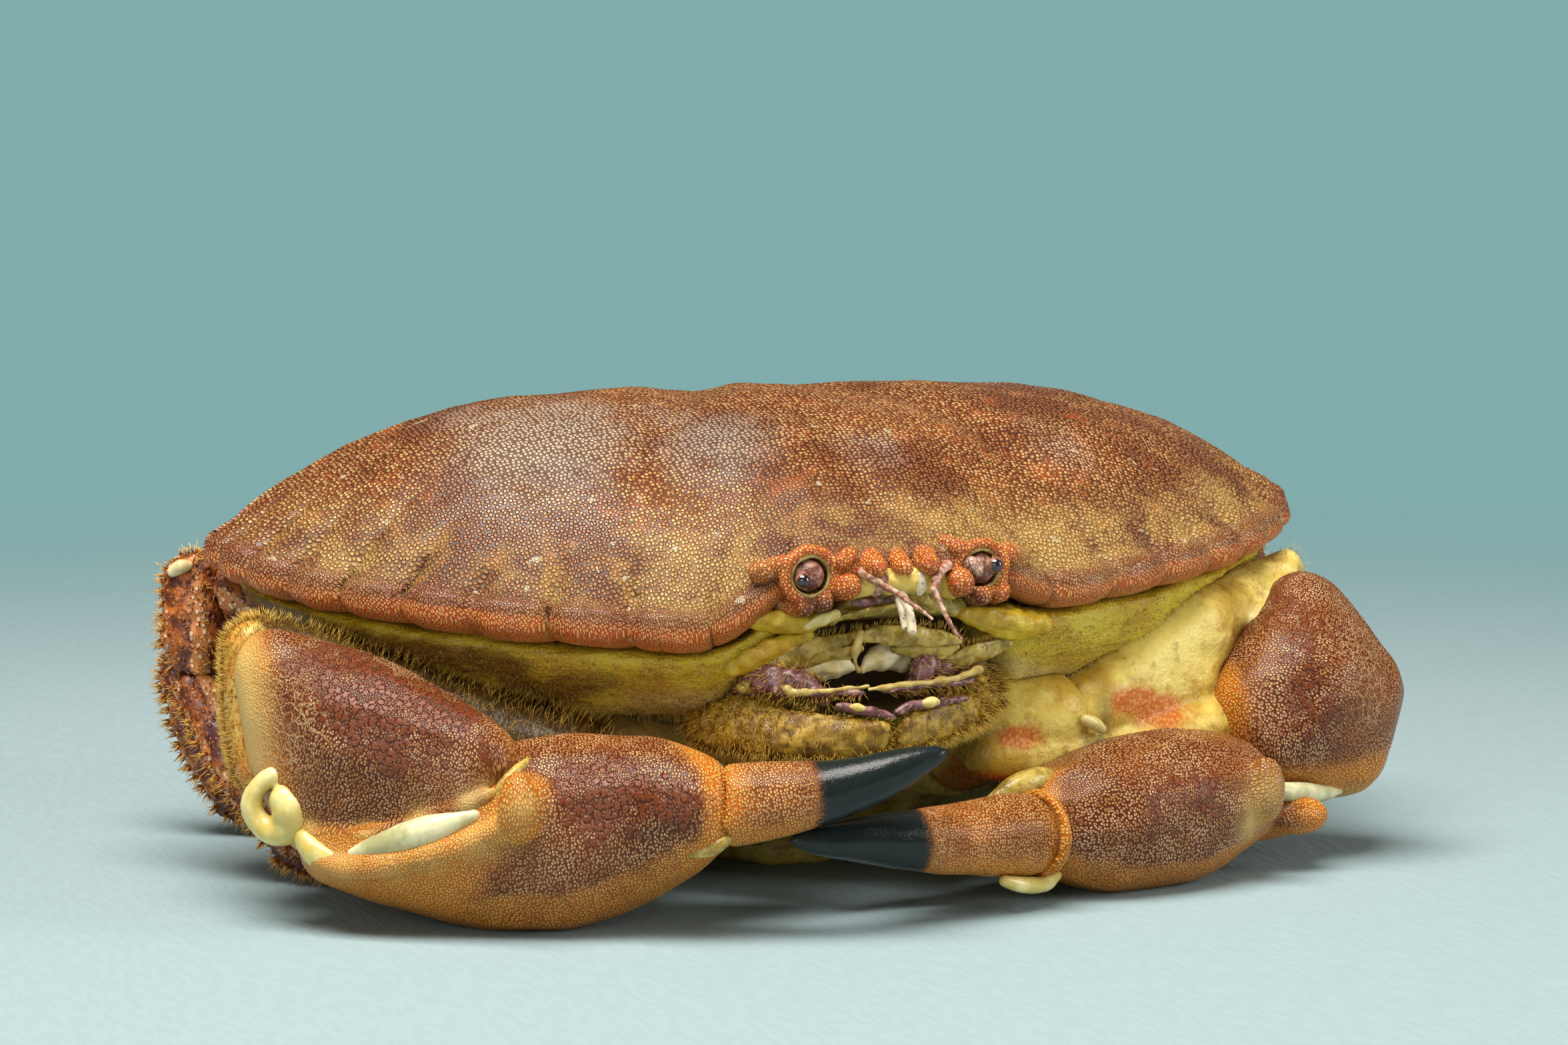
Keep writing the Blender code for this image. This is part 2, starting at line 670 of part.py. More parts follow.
RIGHT_CLAW = {
    "ischium": ([[(-24.0, -31.0, 18.5, 6.5), (-37.0, -38.0, 21.5, 7.0)]], "cream", 130),
    "merus": (
        [
            [(-41.0, -37.5, 22.0, 5.5), (-84.0, -20.0, 36.5, 6.0), (-83.0, -25.0, 26.0, 7.0)],
            [
                (-41.0, -37.5, 22.0, 5.5),
                (-83.0, -25.0, 26.0, 7.0),
                (-83.0, -17.0, 24.0, 6.0),
                (-84.0, -20.0, 36.5, 6.0),
            ],
            [
                (-84.0, -20.0, 36.5, 6.0),
                (-88.0, -22.0, 38.5, 4.4),
                (-86.5, -25.0, 22.0, 5.4),
                (-84.0, -17.0, 26.0, 6.0),
            ],
        ],
        "cream",
        280,
    ),
    "carpus": (
        [
            [
                (-86.0, -28.0, 36.4, 5.8),
                (-62.0, -51.0, 25.0, 5.8),
                (-82.0, -38.0, 15.6, 5.8),
                (-74.0, -44.0, 14.6, 5.0),
                (-64.5, -51.0, 21.5, 5.2),
                (-76.0, -37.0, 27.0, 12.0),
                (-84.0, -30.0, 26.0, 7.0),
            ]
        ],
        "shell_brown",
        420,
    ),
    "palm": (
        [
            [
                (-81.0, -42.0, 11.6, 5.0),
                (-71.0, -43.0, 12.0, 9.0),
                (-60.0, -47.0, 12.8, 13.2),
                (-66.0, -38.0, 12.0, 9.0),
            ],
            [
                (-60.0, -47.0, 12.8, 13.2),
                (-49.0, -51.0, 13.8, 14.2),
                (-50.0, -41.0, 12.5, 11.6),
                (-66.0, -38.0, 12.0, 9.0),
            ],
            [
                (-49.0, -51.0, 13.8, 14.2),
                (-38.5, -57.0, 16.9, 11.2),
                (-40.0, -46.0, 14.0, 10.0),
                (-50.0, -41.0, 12.5, 11.6),
            ],
            [(-38.5, -57.0, 16.9, 11.2), (-35.0, -64.6, 18.6, 8.0), (-36.0, -52.0, 15.0, 7.0)],
            [
                (-36.0, -52.0, 15.0, 7.0),
                (-26.0, -54.0, 16.0, 4.6),
                (-14.0, -57.0, 18.0, 3.4),
                (-5.0, -60.0, 19.6, 1.4),
            ],
            [(-57.0, -60.0, 19.5, 4.0), (-56.0, -52.0, 18.0, 6.0)],
        ],
        "shell_brown",
        780,
    ),
    "dactyl": (
        [
            [(-31.5, -66.5, 18.8, 5.9), (-24.0, -69.0, 19.8, 5.4), (-17.0, -71.8, 20.8, 4.3)],
            [(-17.0, -71.8, 20.8, 4.3), (-7.5, -74.0, 23.6, 2.9), (-3.0, -75.0, 25.4, 1.9)],
            [(-3.0, -75.0, 25.4, 1.9), (0.4, -75.6, 26.6, 0.8)],
        ],
        "horn_black",
        290,
    ),
}

LEFT_CLAW = {
    "ischium": (
        [[(22.0, -30.0, 19.0, 6.5), (21.0, -41.0, 26.0, 6.0), (31.0, -41.5, 25.5, 6.6)]],
        "cream",
        150,
    ),
    "merus": (
        [
            [(37.5, -40.5, 26.5, 5.6), (60.0, -34.0, 26.0, 5.0), (60.0, -33.5, 38.0, 4.6)],
            [
                (60.0, -34.0, 26.0, 5.0),
                (60.0, -33.5, 38.0, 4.6),
                (77.0, -21.0, 40.6, 4.6),
                (73.0, -24.0, 27.0, 5.0),
            ],
            [
                (77.0, -21.0, 40.6, 4.6),
                (73.0, -24.0, 27.0, 5.0),
                (74.0, -13.0, 32.0, 5.0),
                (50.0, -34.0, 27.0, 5.0),
            ],
            [(78.0, -20.0, 40.6, 4.4), (83.0, -18.0, 43.2, 3.0)],
        ],
        "cream",
        300,
    ),
    "carpus": (
        [
            [
                (79.5, -31.0, 37.8, 6.6),
                (84.6, -35.0, 25.4, 9.6),
                (82.0, -37.0, 17.8, 8.8),
                (70.0, -41.0, 19.6, 7.6),
                (66.5, -40.0, 25.0, 6.6),
                (75.5, -36.5, 26.0, 13.0),
            ]
        ],
        "shell_brown",
        480,
    ),
    "palm": (
        [
            [(27.5, -54.5, 11.0, 8.2), (36.0, -52.5, 11.0, 11.4), (34.0, -44.0, 10.5, 8.0)],
            [
                (36.0, -52.5, 11.0, 11.4),
                (46.5, -49.5, 11.5, 12.1),
                (46.0, -38.0, 10.6, 10.0),
                (34.0, -44.0, 10.5, 8.0),
            ],
            [
                (46.5, -49.5, 11.5, 12.1),
                (57.0, -46.5, 12.4, 9.6),
                (56.0, -40.0, 11.0, 8.0),
                (46.0, -38.0, 10.6, 10.0),
            ],
            [(57.0, -46.5, 12.4, 9.6), (61.0, -45.5, 13.0, 6.4)],
            [(60.0, -49.5, 15.6, 4.0), (56.0, -47.0, 15.0, 6.0)],
            [(69.5, -46.0, 8.4, 3.0), (58.0, -45.0, 9.0, 5.0)],
            [
                (27.5, -50.0, 9.0, 6.0),
                (16.0, -52.0, 8.8, 4.2),
                (2.0, -55.0, 9.2, 3.0),
                (-9.0, -58.0, 10.0, 1.3),
            ],
        ],
        "shell_brown",
        740,
    ),
    "dactyl": (
        [
            [(18.5, -61.0, 11.0, 6.2), (8.0, -65.0, 11.6, 5.0), (-1.5, -67.5, 12.4, 4.2)],
            [(-1.5, -67.5, 12.4, 4.2), (-9.0, -69.0, 13.2, 3.2), (-16.0, -70.2, 13.8, 2.2)],
            [(-16.0, -70.2, 13.8, 2.2), (-21.4, -71.0, 14.2, 0.8)],
        ],
        "horn_black",
        290,
    ),
}

CLAW_BUDGETS = {"ischium": 150, "merus": 340, "carpus": 400, "palm": 740, "dactyl": 290}
LOOKS = {
    "cream": (CREAM, 0.4),
    "shell_brown": (SHELL_BROWN, 0.45),
    "horn_black": (HORN_BLACK, 0.2),
    "leg_brown": (LEG_BROWN, 0.5),
}


def build_claw(suffix, shapes, palm_yields):
    """Five segments; where two meet, one is cut to sit in or over the other."""
    claw = {}
    for segment, (hulls, look, triangles) in shapes.items():
        look = material(look, *LOOKS[look])
        claw[segment] = grown(f"claw_{segment}_{suffix}", hulls, Matrix(), (1, 1, 1), look, triangles)
    make_room(claw["ischium"], [claw["merus"]], JOINT_GAP)
    make_room(claw["merus"], [claw["carpus"], claw["palm"]], JOINT_GAP)
    if palm_yields:
        make_room(claw["palm"], [claw["carpus"]], JOINT_GAP)
    else:
        make_room(claw["carpus"], [claw["palm"]], JOINT_GAP)
    make_room(claw["dactyl"], [claw["palm"]], JOINT_GAP)
    for segment, budget in CLAW_BUDGETS.items():
        decimate(claw[segment], budget)
    rest_on_floor(claw["palm"])
    return list(claw.values())


# Walking legs: hip, knee, ankle, foot and toe, for the left side, front leg first

LEGS = (
    ((41.0, -12.0, 19.0), (89.0, 14.0, 44.5), (89.0, 10.0, 28.5), (78.5, -4.0, 5.0), (66.5, -17.0, -0.2)),
    ((44.0, 8.0, 18.0), (79.5, 43.0, 42.0), (84.0, 44.0, 26.5), (77.5, 40.0, 5.0), (64.0, 33.0, -0.2)),
    ((41.0, 23.0, 17.5), (61.5, 60.0, 39.0), (65.5, 62.0, 24.5), (60.0, 56.0, 5.0), (48.0, 48.0, -0.2)),
    ((33.0, 33.0, 17.0), (41.0, 69.0, 35.0), (44.5, 71.0, 21.5), (41.5, 62.0, 5.0), (33.0, 53.0, -0.2)),
)
LEG_RADII = ((4.6, 6.8, 6.4, 4.2), (4.9, 5.5, 3.6), (4.4, 5.2, 2.7), (3.3, 2.3, 0.8))
LEG_THIN = (0.62, 0.8, 0.72, 0.75)
LEG_TRIANGLES = (110, 80, 90, 70)
LEG_BUDGETS = (140, 110, 110, 70)
LEG_SEGMENTS = ("merus", "carpus", "propodus", "dactyl")
LEG_SIZES = (1.0, 1.0, 0.93, 0.86)


def build_leg(number, side, suffix):
    """Four segments, each flattened fore and aft, bent at the knee and tucked in against the body."""
    joints = [Vector((x * side, y, z)) for x, y, z in LEGS[number]]
    size = LEG_SIZES[number]
    look = material("leg_brown", LEG_BROWN, 0.5)
    parts = []
    for k, (start, end) in enumerate(zip(joints, joints[1:])):
        length = (end - start).length
        up = (0, 0, 1) if k == 0 else (side, 0.2, 0.6)
        radii = LEG_RADII[k]
        count = len(radii) - 1
        balls = [(length * i / count, 0.0, 0.0, radius * size) for i, radius in enumerate(radii)]
        name = f"leg{number + 1}_{LEG_SEGMENTS[k]}_{suffix}"
        thin = (1.0, LEG_THIN[k], 1.0)
        parts.append(grown(name, chain(balls), facing(start, end, up), thin, look, LEG_TRIANGLES[k], 0.7, 2))
    for inner, outer, budget in zip(parts, parts[1:], LEG_BUDGETS):
        make_room(inner, [outer], JOINT_GAP)
        decimate(inner, budget)
    for part in parts[2:]:
        rest_on_floor(part)
    return parts


HIPS = (
    (38.0, -11.0, 16.0, 7.4),
    (39.0, 6.0, 15.0, 7.4),
    (35.5, 20.5, 14.6, 7.0),
    (28.0, 31.0, 14.0, 6.4),
    (21.0, -27.0, 17.5, 6.6),
)


def add_hips(breast, limbs):
    """Bosses on the breast, each with a socket for the first segment of its limb."""
    look = material("cream", CREAM, 0.4)
    hips = []
    for side in (1, -1):
        for x, y, z, radius in HIPS:
            balls = mirrored([(x, y, z, radius), (x * 0.6, y * 0.7, z, radius)], side)
            hips.append(grown(f"hip{side}{y}", [balls], Matrix(), (1, 1, 1), look, 70))
    boolean(breast, hips, "UNION")
    decimate(breast, 760)
    return make_room(breast, [limb[0] for limb in limbs])


def fit_body(shell, breast, cheeks, claws, legs):
    """The body parts give way to the shell over them and to the limbs folded against them."""
    for side, cheek in enumerate(cheeks):
        decimate(cheek, 400)
        limbs = [claws[side][0], claws[side][1], legs[side * 4][0]]
        make_room(cheek, [shell] + limbs, JOINT_GAP)
        decimate(cheek, 620)
    make_room(claws[0][0], [claws[0][3]])


FACE_BUDGETS = {"antenna": 140, "antennule": 90, "mandible": 110, "palp": 220, "maxilliped": 330}


def fit_face(face, body):
    """The face pieces are cut where they meet the body, and each gives way to the one behind it."""
    placed = []
    for node in face:
        near = [other for other in placed if same_side(node, other)]
        make_room(node, body + near, JOINT_GAP)
        decimate(node, FACE_BUDGETS[node.name.rsplit("_", 1)[0]])
        placed.append(node)


def same_side(a, b):
    return a.name.rsplit("_", 1)[-1] == b.name.rsplit("_", 1)[-1]


clear_scene()
carapace = build_carapace()
breast, cheeks = build_underside()
claws = [build_claw("right", RIGHT_CLAW, True), build_claw("left", LEFT_CLAW, False)]
legs = [build_leg(n, side, suffix) for suffix, side in (("right", -1), ("left", 1)) for n in range(4)]
add_hips(breast, claws + legs)
fit_body(carapace, breast, cheeks, claws, legs)
face = build_face()
fit_face(face[2:], [carapace, breast, claws[1][0]] + cheeks)
abdomen = build_abdomen(breast)
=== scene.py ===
"""A life-size brown crab at rest: fine shells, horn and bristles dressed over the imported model."""

import math

import bpy
import numpy as np
from bpy.props import FloatProperty, FloatVectorProperty, IntProperty, PointerProperty
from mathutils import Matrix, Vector, noise


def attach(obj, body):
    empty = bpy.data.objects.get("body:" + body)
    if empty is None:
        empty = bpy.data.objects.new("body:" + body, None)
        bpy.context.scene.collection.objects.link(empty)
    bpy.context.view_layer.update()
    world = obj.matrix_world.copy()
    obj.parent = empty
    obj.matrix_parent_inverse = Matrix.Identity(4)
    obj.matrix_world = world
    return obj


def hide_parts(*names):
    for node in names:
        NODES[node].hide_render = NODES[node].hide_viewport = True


bl_info = {
    "name": "Brown Crab",
    "version": (1, 0, 0),
    "blender": (4, 5, 0),
    "location": "View3D > Sidebar > Crab",
    "description": "Dresses the solids of a brown crab with shell, horn, eyes, feelers and bristles",
    "category": "Add Mesh",
}

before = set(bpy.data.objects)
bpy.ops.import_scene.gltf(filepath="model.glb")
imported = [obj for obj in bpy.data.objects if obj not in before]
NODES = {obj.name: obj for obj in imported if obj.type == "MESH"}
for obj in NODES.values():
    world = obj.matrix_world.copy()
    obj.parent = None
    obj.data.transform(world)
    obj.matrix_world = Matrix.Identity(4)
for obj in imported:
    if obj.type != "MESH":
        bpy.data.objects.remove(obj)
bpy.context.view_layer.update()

MM = 0.001
SIDES = (("right", -1), ("left", 1))
PAINTS = {}

# The back shell, in millimetres
HALF_WIDTH = 90.0
FRONT_Y = -58.0
WIDEST_Y = 2.0
FRONT_DEPTH = WIDEST_Y - FRONT_Y
REAR_DEPTH = 53.0
REAR_FLAT = 47.0
FRONT_FULLNESS = 1.82
REAR_FULLNESS = 1.5
SHELL_TOP = 73.6
BROW_HEIGHT = 51.0
TIP_HEIGHT = {-1: 50.5, 1: 54.0}
REAR_HEIGHT = 42.0
CHEEK_HEIGHT = {-1: 41.6, 1: 45.6}
RIM_RISE = {-1: 1.25, 1: 1.1}
EDGE_LOBES = 10
LOBE_START = math.radians(12.0)
LOBE_END = math.radians(93.0)
RIM_THICKNESS = 3.0
RIM_START = 0.976
EYE = Vector((13.4, -56.6, 50.3))
# Rings of the shell's underside: share of the way out, depth below the rim
UNDER_RINGS = ((0.997, 0.9), (0.986, 1.8), (0.967, 2.5), (0.93, 2.9), (0.8, 1.0), (0.5, -3.0), (0.2, -5.0))

# Sizes of the skin patterns, in metres
TILE_GRAIN = 0.00125
CREASE_GRAIN = 1 / 620
LOBE_GRAIN = 0.0005
BROW_GRAIN = 0.00055


# Settings that a user would change


def measure(name, text, default, least):
    return FloatProperty(name=name, description=text, default=default, min=least, unit="LENGTH")


class CrabSizes(bpy.types.PropertyGroup):
    """Sizes of the fine detail."""

    shell_grain: measure("Shell grain", "Distance between the granules of the back shell", 0.75 * MM, 0.0003)
    claw_grain: measure("Claw grain", "Distance between the granules of the claws", 0.47 * MM, 0.0002)
    skin_detail: measure("Skin detail", "Edge length of the claw and body meshes", 0.5 * MM, 0.0003)
    bristle_length: measure("Bristle length", "Length of the stiff bristles on the legs", 2.6 * MM, 0.0005)
    shell_steps: IntProperty(
        name="Shell steps", description="Mesh steps across the back shell", default=280, min=60, max=320
    )


def colour(name, text, default):
    return FloatVectorProperty(name=name, description=text, subtype="COLOR", size=3, default=default)


class CrabColours(bpy.types.PropertyGroup):
    """Main colours, which the finishes vary and mottle."""

    granule: colour("Granule", "Tips of the shell's granules", (0.66, 0.39, 0.14))
    # Grey patches: partly wear, partly a painted reflection of the overhead light
    worn_and_sheen: colour("Worn grey", "Polished patches on the back", (0.56, 0.49, 0.4))
    ochre: colour("Ochre", "Velvet along the front edge", (0.55, 0.36, 0.11))
    maroon: colour("Maroon", "Dark blotches of the claws", (0.085, 0.018, 0.004))
    cream: colour("Cream", "Underside, hinges and upper arms", (0.8, 0.63, 0.15))
    # The slight teal cast of this black is a painted reflection of the backdrop
    horn: colour("Horn", "Black finger tips", (0.009, 0.013, 0.013))
    floor: colour("Floor", "Pale floor", (0.295, 0.4, 0.435))
    backdrop: colour("Backdrop", "Soft background", (0.22, 0.415, 0.41))


# Shader sums


class Wire:
    """One socket of a finish. Sums on it add the Math nodes."""

    def __init__(self, paint, socket):
        self.paint = paint
        self.socket = socket

    def sum(self, operation, *terms):
        return self.paint.node("ShaderNodeMath", {"operation": operation}, dict(enumerate(terms)))

    def __add__(self, other):
        return self.sum("ADD", self, other)

    def __radd__(self, other):
        return self.sum("ADD", other, self)

    def __sub__(self, other):
        return self.sum("SUBTRACT", self, other)

    def __rsub__(self, other):
        return self.sum("SUBTRACT", other, self)

    def __mul__(self, other):
        return self.sum("MULTIPLY", self, other)

    def __rmul__(self, other):
        return self.sum("MULTIPLY", other, self)

    def step(self, low, high):
        """0 below low, 1 above high and smooth between; low above high turns it round."""
        inputs = {0: self, 1: low, 2: high} if low < high else {0: self, 1: high, 2: low, 3: 1.0, 4: 0.0}
        return self.paint.node("ShaderNodeMapRange", {"interpolation_type": "SMOOTHSTEP"}, inputs)


class Nodes:
    """The nodes of a material or of the world."""

    def __init__(self, owner):
        owner.use_nodes = True
        self.tree = owner.node_tree

    def node(self, kind, settings=None, inputs=None, output=0):
        made = self.tree.nodes.new(kind)
        for key, value in (settings or {}).items():
            setattr(made, key, value)
        for key, value in (inputs or {}).items():
            self.feed(made.inputs[key], value)
        return Wire(self, made.outputs[output])

    def feed(self, socket, value):
        if isinstance(value, Wire):
            self.tree.links.new(value.socket, socket)
        elif socket.type == "RGBA":
            socket.default_value = (*value, 1.0)
        else:
            socket.default_value = value

    def show(self, shader, output):
        self.feed(self.tree.nodes[output].inputs["Surface"], shader)


class Paint(Nodes):
    """A finish while it is being mixed."""

    def __init__(self, name):
        self.material = bpy.data.materials.new(name)
        super().__init__(self.material)
        self.shader = self.tree.nodes["Principled BSDF"]
        self.place = self.node("ShaderNodeTexCoord", None, None, "Object")
        self.flat = None
        PAINTS[name] = self.material

    def mix(self, below, above, share):
        """Colours in layers; share is how much of the upper one shows."""
        return self.node("ShaderNodeMix", {"data_type": "RGBA"}, {0: share, 6: below, 7: above}, 2)

    def grain(self, size, detail=2.0, rough=0.55, stretch=None, output=0):
        """Noise whose patches are about this many metres across."""
        where = self.place
        if stretch:
            where = self.node("ShaderNodeMapping", None, {"Vector": where, "Scale": stretch})
        inputs = {"Vector": where, "Scale": 1 / size, "Detail": detail, "Roughness": rough}
        return self.node("ShaderNodeTexNoise", None, inputs, output)

    def rolled(self):
        """Places on the skin as it is when rolled out flat."""
        self.flat = self.flat or self.node("ShaderNodeAttribute", {"attribute_name": "flat"}, None, "Vector")
        return self.flat

    def cells(self, size, feature="DISTANCE_TO_EDGE", output=0, spread=0.9, flat=None):
        """Cells about this many metres apart, through the piece or on places of its flat skin."""
        settings = {"feature": feature, "voronoi_dimensions": "2D" if flat else "3D"}
        inputs = {"Vector": flat or self.place, "Scale": 1 / size, "Randomness": spread}
        return self.node("ShaderNodeTexVoronoi", settings, inputs, output)

    def tones(self, size, spread=0.9, flat=None):
        """A random value for each cell."""
        return self.node("ShaderNodeSeparateColor", None, {0: self.cells(size, "F1", 1, spread, flat)})

    def beads(self, size, spread=0.65):
        """Round beads on the rolled-out skin, about this many metres apart."""
        middle = self.cells(size, "F1", 0, spread, self.rolled()).step(0.56, 0.26)
        return middle * self.cells(size, "DISTANCE_TO_EDGE", 0, spread, self.rolled()).step(0.0, 0.12)

    def marks(self):
        """The four masks stored on the mesh."""
        mark = self.node("ShaderNodeAttribute", {"attribute_name": "marks"})
        parts = self.node("ShaderNodeSeparateColor", None, {0: mark}).socket.node
        return [Wire(self, socket) for socket in (*parts.outputs, mark.socket.node.outputs["Alpha"])]

    def bump(self, height, depth, strength=1.0):
        return self.node("ShaderNodeBump", None, {"Height": height, "Distance": depth, "Strength": strength})

    def finish(self, base, rough, normal=None, **constants):
        inputs = {"Base Color": base, "Roughness": rough, **constants}
        if normal:
            inputs["Normal"] = normal
        for key, value in inputs.items():
            self.feed(self.shader.inputs[key.replace("_", " ")], value)


def shade(tone, amount):
    return tuple(c * amount for c in tone)


def shell_paint(colours, sizes, name, solid):
    """Rust shell under pale granules.

    Marks: red = edge lobes, green = grey patches, partly wear and partly a painted reflection of the
    overhead light, blue = front velvet, alpha = clefts.
    """
    p = Paint(name)
    lobes, worn_and_sheen, velvet, clefts = p.marks()
    band = lobes.step(0.25, 0.7)
    lip = lobes.step(0.75, 0.95)
    broad = p.grain(0.022, 3.0)
    spots = p.grain(0.005, 3.0, 0.65)
    fine = p.grain(0.0009, 2.0)
    if solid:
        tone = p.tones(BROW_GRAIN)
        bead = p.cells(BROW_GRAIN, "DISTANCE_TO_EDGE", 0, 0.8).step(0.03, 0.22)
    else:
        tone = p.tones(sizes.shell_grain, 0.65, p.rolled())
        bead = p.beads(sizes.shell_grain) * (1 - band) + p.beads(LOBE_GRAIN) * band
    red = spots.step(0.52, 0.7)
    ground = p.mix((0.055, 0.01, 0.002), (0.12, 0.028, 0.005), broad.step(0.36, 0.66))
    ground = p.mix(ground, (0.3, 0.05, 0.005), red * 0.8)
    ground = p.mix(ground, (0.15, 0.024, 0.004), band * 0.8)
    bright = p.mix((0.34, 0.11, 0.024), colours.granule, (tone * 0.6 + spots * 0.7).step(0.4, 1.0))
    bright = p.mix(bright, (0.27, 0.075, 0.016), (1 - broad).step(0.46, 0.6) * 0.8)
    bright = p.mix(bright, p.mix((0.25, 0.07, 0.022), (0.5, 0.25, 0.12), tone), band * 0.9)
    skin = p.mix(ground, bright, bead * (0.72 + tone * 0.28))
    skin = p.mix(skin, p.mix((0.6, 0.08, 0.004), (0.95, 0.4, 0.09), bead), lip * (0.3 + spots * 0.8))
    # Grey patches: partly wear, partly a painted reflection of the overhead light
    grey = p.mix((0.12, 0.07, 0.045), colours.worn_and_sheen, bead * 0.9 + fine * 0.1)
    skin = p.mix(skin, grey, (worn_and_sheen * (0.15 + spots * 1.7)).step(0.2, 0.95) * 0.65)
    fuzz = p.mix((0.3, 0.17, 0.025), colours.ochre, (fine + bead * 0.6).step(0.4, 1.1))
    skin = p.mix(skin, fuzz, velvet * (broad * 0.9 + spots * 0.9).step(0.68, 1.12) * 0.72)
    skin = p.mix(skin, (0.13, 0.09, 0.02), clefts.step(0.35, 0.95) * 0.7)
    speck = p.grain(0.0022, 1.0, 0.4).step(0.74, 0.78)
    skin = p.mix(skin, (0.6, 0.5, 0.34), speck * 0.7)
    height = bead * (0.8 + tone * 0.4) + spots * 0.4 + fine * 0.2
    rough = 0.3 - worn_and_sheen * 0.05 + velvet * 0.2 + spots * 0.1
    p.finish(skin, rough, p.bump(height, 0.0003), Specular_IOR_Level=0.5)


def claw_paint(colours, sizes):
    """Brown shell with pale beads and maroon tiles.

    Marks: red = orange edges, green = black horn (or fine veins when low), blue = pale yellow rims,
    alpha = maroon middle.
    """
    p = Paint("claw_finish")
    edges, horn, pale, middle = p.marks()
    broad = p.grain(0.014, 3.0)
    blots = p.grain(0.0045, 4.0, 0.7)
    fine = p.grain(0.0007)
    bead, tone = p.beads(sizes.claw_grain, 0.85), p.tones(sizes.claw_grain, 0.85, p.rolled())
    tiles, pick = p.beads(TILE_GRAIN, 0.9), p.tones(TILE_GRAIN, 0.9, p.rolled())
    patch = p.grain(0.0075, 3.0, 0.6)
    chosen = (middle * 0.9 + patch * 2.2 + pick * 0.5).step(1.85, 2.2)
    dark = tiles * chosen * (1 - edges * 0.7) * (1 - pale)
    warm = (edges * 1.15 + blots * 0.7 - 0.45).step(0.08, 0.75)
    ground = p.mix((0.085, 0.016, 0.003), (0.17, 0.04, 0.006), broad.step(0.4, 0.6))
    ground = p.mix(ground, (0.07, 0.012, 0.003), middle * 0.8)
    ground = p.mix(ground, (0.5, 0.13, 0.006), warm * 0.9)
    bright = p.mix((0.46, 0.19, 0.05), (0.66, 0.4, 0.2), blots.step(0.4, 0.62))
    bright = p.mix(bright, (0.15, 0.034, 0.01), chosen * 0.85)
    bright = p.mix(bright, (0.84, 0.45, 0.09), warm * 0.9)
    skin = p.mix(ground, bright, bead.step(0.3, 0.9) * (0.55 + tone * 0.45))
    skin = p.mix(skin, p.mix(colours.maroon, shade(colours.maroon, 2.6), fine), dark * 0.93)
    lines = horn.step(0.04, 0.3) * horn.step(0.42, 0.36)
    terms = {0: p.grain(0.003, 3.0, 0.6, None, 1), 1: (0.003,) * 3, 2: p.rolled()}
    bent = p.node("ShaderNodeVectorMath", {"operation": "MULTIPLY_ADD"}, terms)
    net = p.cells(CREASE_GRAIN, "DISTANCE_TO_EDGE", 0, 1.0, bent).step(0.13, 0.02)
    skin = p.mix(skin, p.mix((0.2, 0.045, 0.012), (0.56, 0.32, 0.14), net), lines * (0.25 + net * 0.55))
    skin = p.mix(skin, p.mix((0.7, 0.42, 0.07), (0.88, 0.68, 0.28), fine), pale * 0.95)
    edge = (horn + (blots - 0.5) * 0.5 + (bead - 0.5) * 0.14).step(0.4, 0.64)
    # Black horn tips with a slight teal cast, a painted reflection of the backdrop
    skin = p.mix(skin, p.mix(colours.horn, (0.012, 0.019, 0.019), fine), edge)
    rough = (0.26 + blots * 0.2) * (1 - edge) + (0.15 + fine * 0.12) * edge
    bumps = bead * (0.8 - dark * 0.8) + tiles * chosen * 0.9 + net * lines * 0.8 + fine * 0.15
    height = bumps * (1 - edge * 0.96) * (1 - pale * 0.7) + blots * 0.4
    p.finish(skin, rough, p.bump(height, 0.00022), Specular_IOR_Level=0.32)


def cream_paint(name, tint, stain, streak, knobs):
    """Smooth under-shell.

    Marks: red = orange stain, green = brown smudges, partly painted shade, blue = white polish, alpha =
    painted shade in hollows, gaps and under the shell's edge.
    """
    p = Paint(name)
    orange, smudge_and_shade, white, hollow_shade = p.marks()
    broad = p.grain(0.012, 3.0)
    fleck = p.grain(0.0032, 4.0, 0.7, streak)
    fine = p.grain(0.0006, 2.0)
    dots = p.cells(0.0006, "F1", 0, 0.8).step(0.5, 0.3)
    skin = p.mix(tint, stain, (broad * 0.7 + fleck * 0.4).step(0.46, 0.66) * 0.85)
    skin = p.mix(skin, shade(stain, 0.5), fleck.step(0.54, 0.74) * 0.6)
    skin = p.mix(skin, shade(tint, 1.3), dots * (0.3 + fleck) * knobs)
    warm = p.mix((0.56, 0.11, 0.006), (0.68, 0.27, 0.05), p.cells(0.0007, "F1", 0, 0.8).step(0.52, 0.3))
    skin = p.mix(skin, warm, (orange + fleck * 0.8 - 0.4).step(0.15, 0.75) * 0.9)
    # Brown smudges, partly painted shade where the mask follows hollows and the shell's edge
    skin = p.mix(skin, (0.1, 0.034, 0.003), (smudge_and_shade * (0.4 + fleck * 1.2)).step(0.3, 1.05) * 0.88)
    skin = p.mix(skin, (0.84, 0.76, 0.4), white)
    # Painted shade: near black in hollows, gaps and under the shell's edge
    skin = p.mix(skin, (0.03, 0.014, 0.002), hollow_shade * 0.95)
    height = broad * 1.4 + fleck * 1.2 + fine * 0.15 + dots * knobs * 0.5
    rough = 0.28 + fleck * 0.2 - white * 0.1
    p.finish(skin, rough, p.bump(height, 0.0005, 0.7))


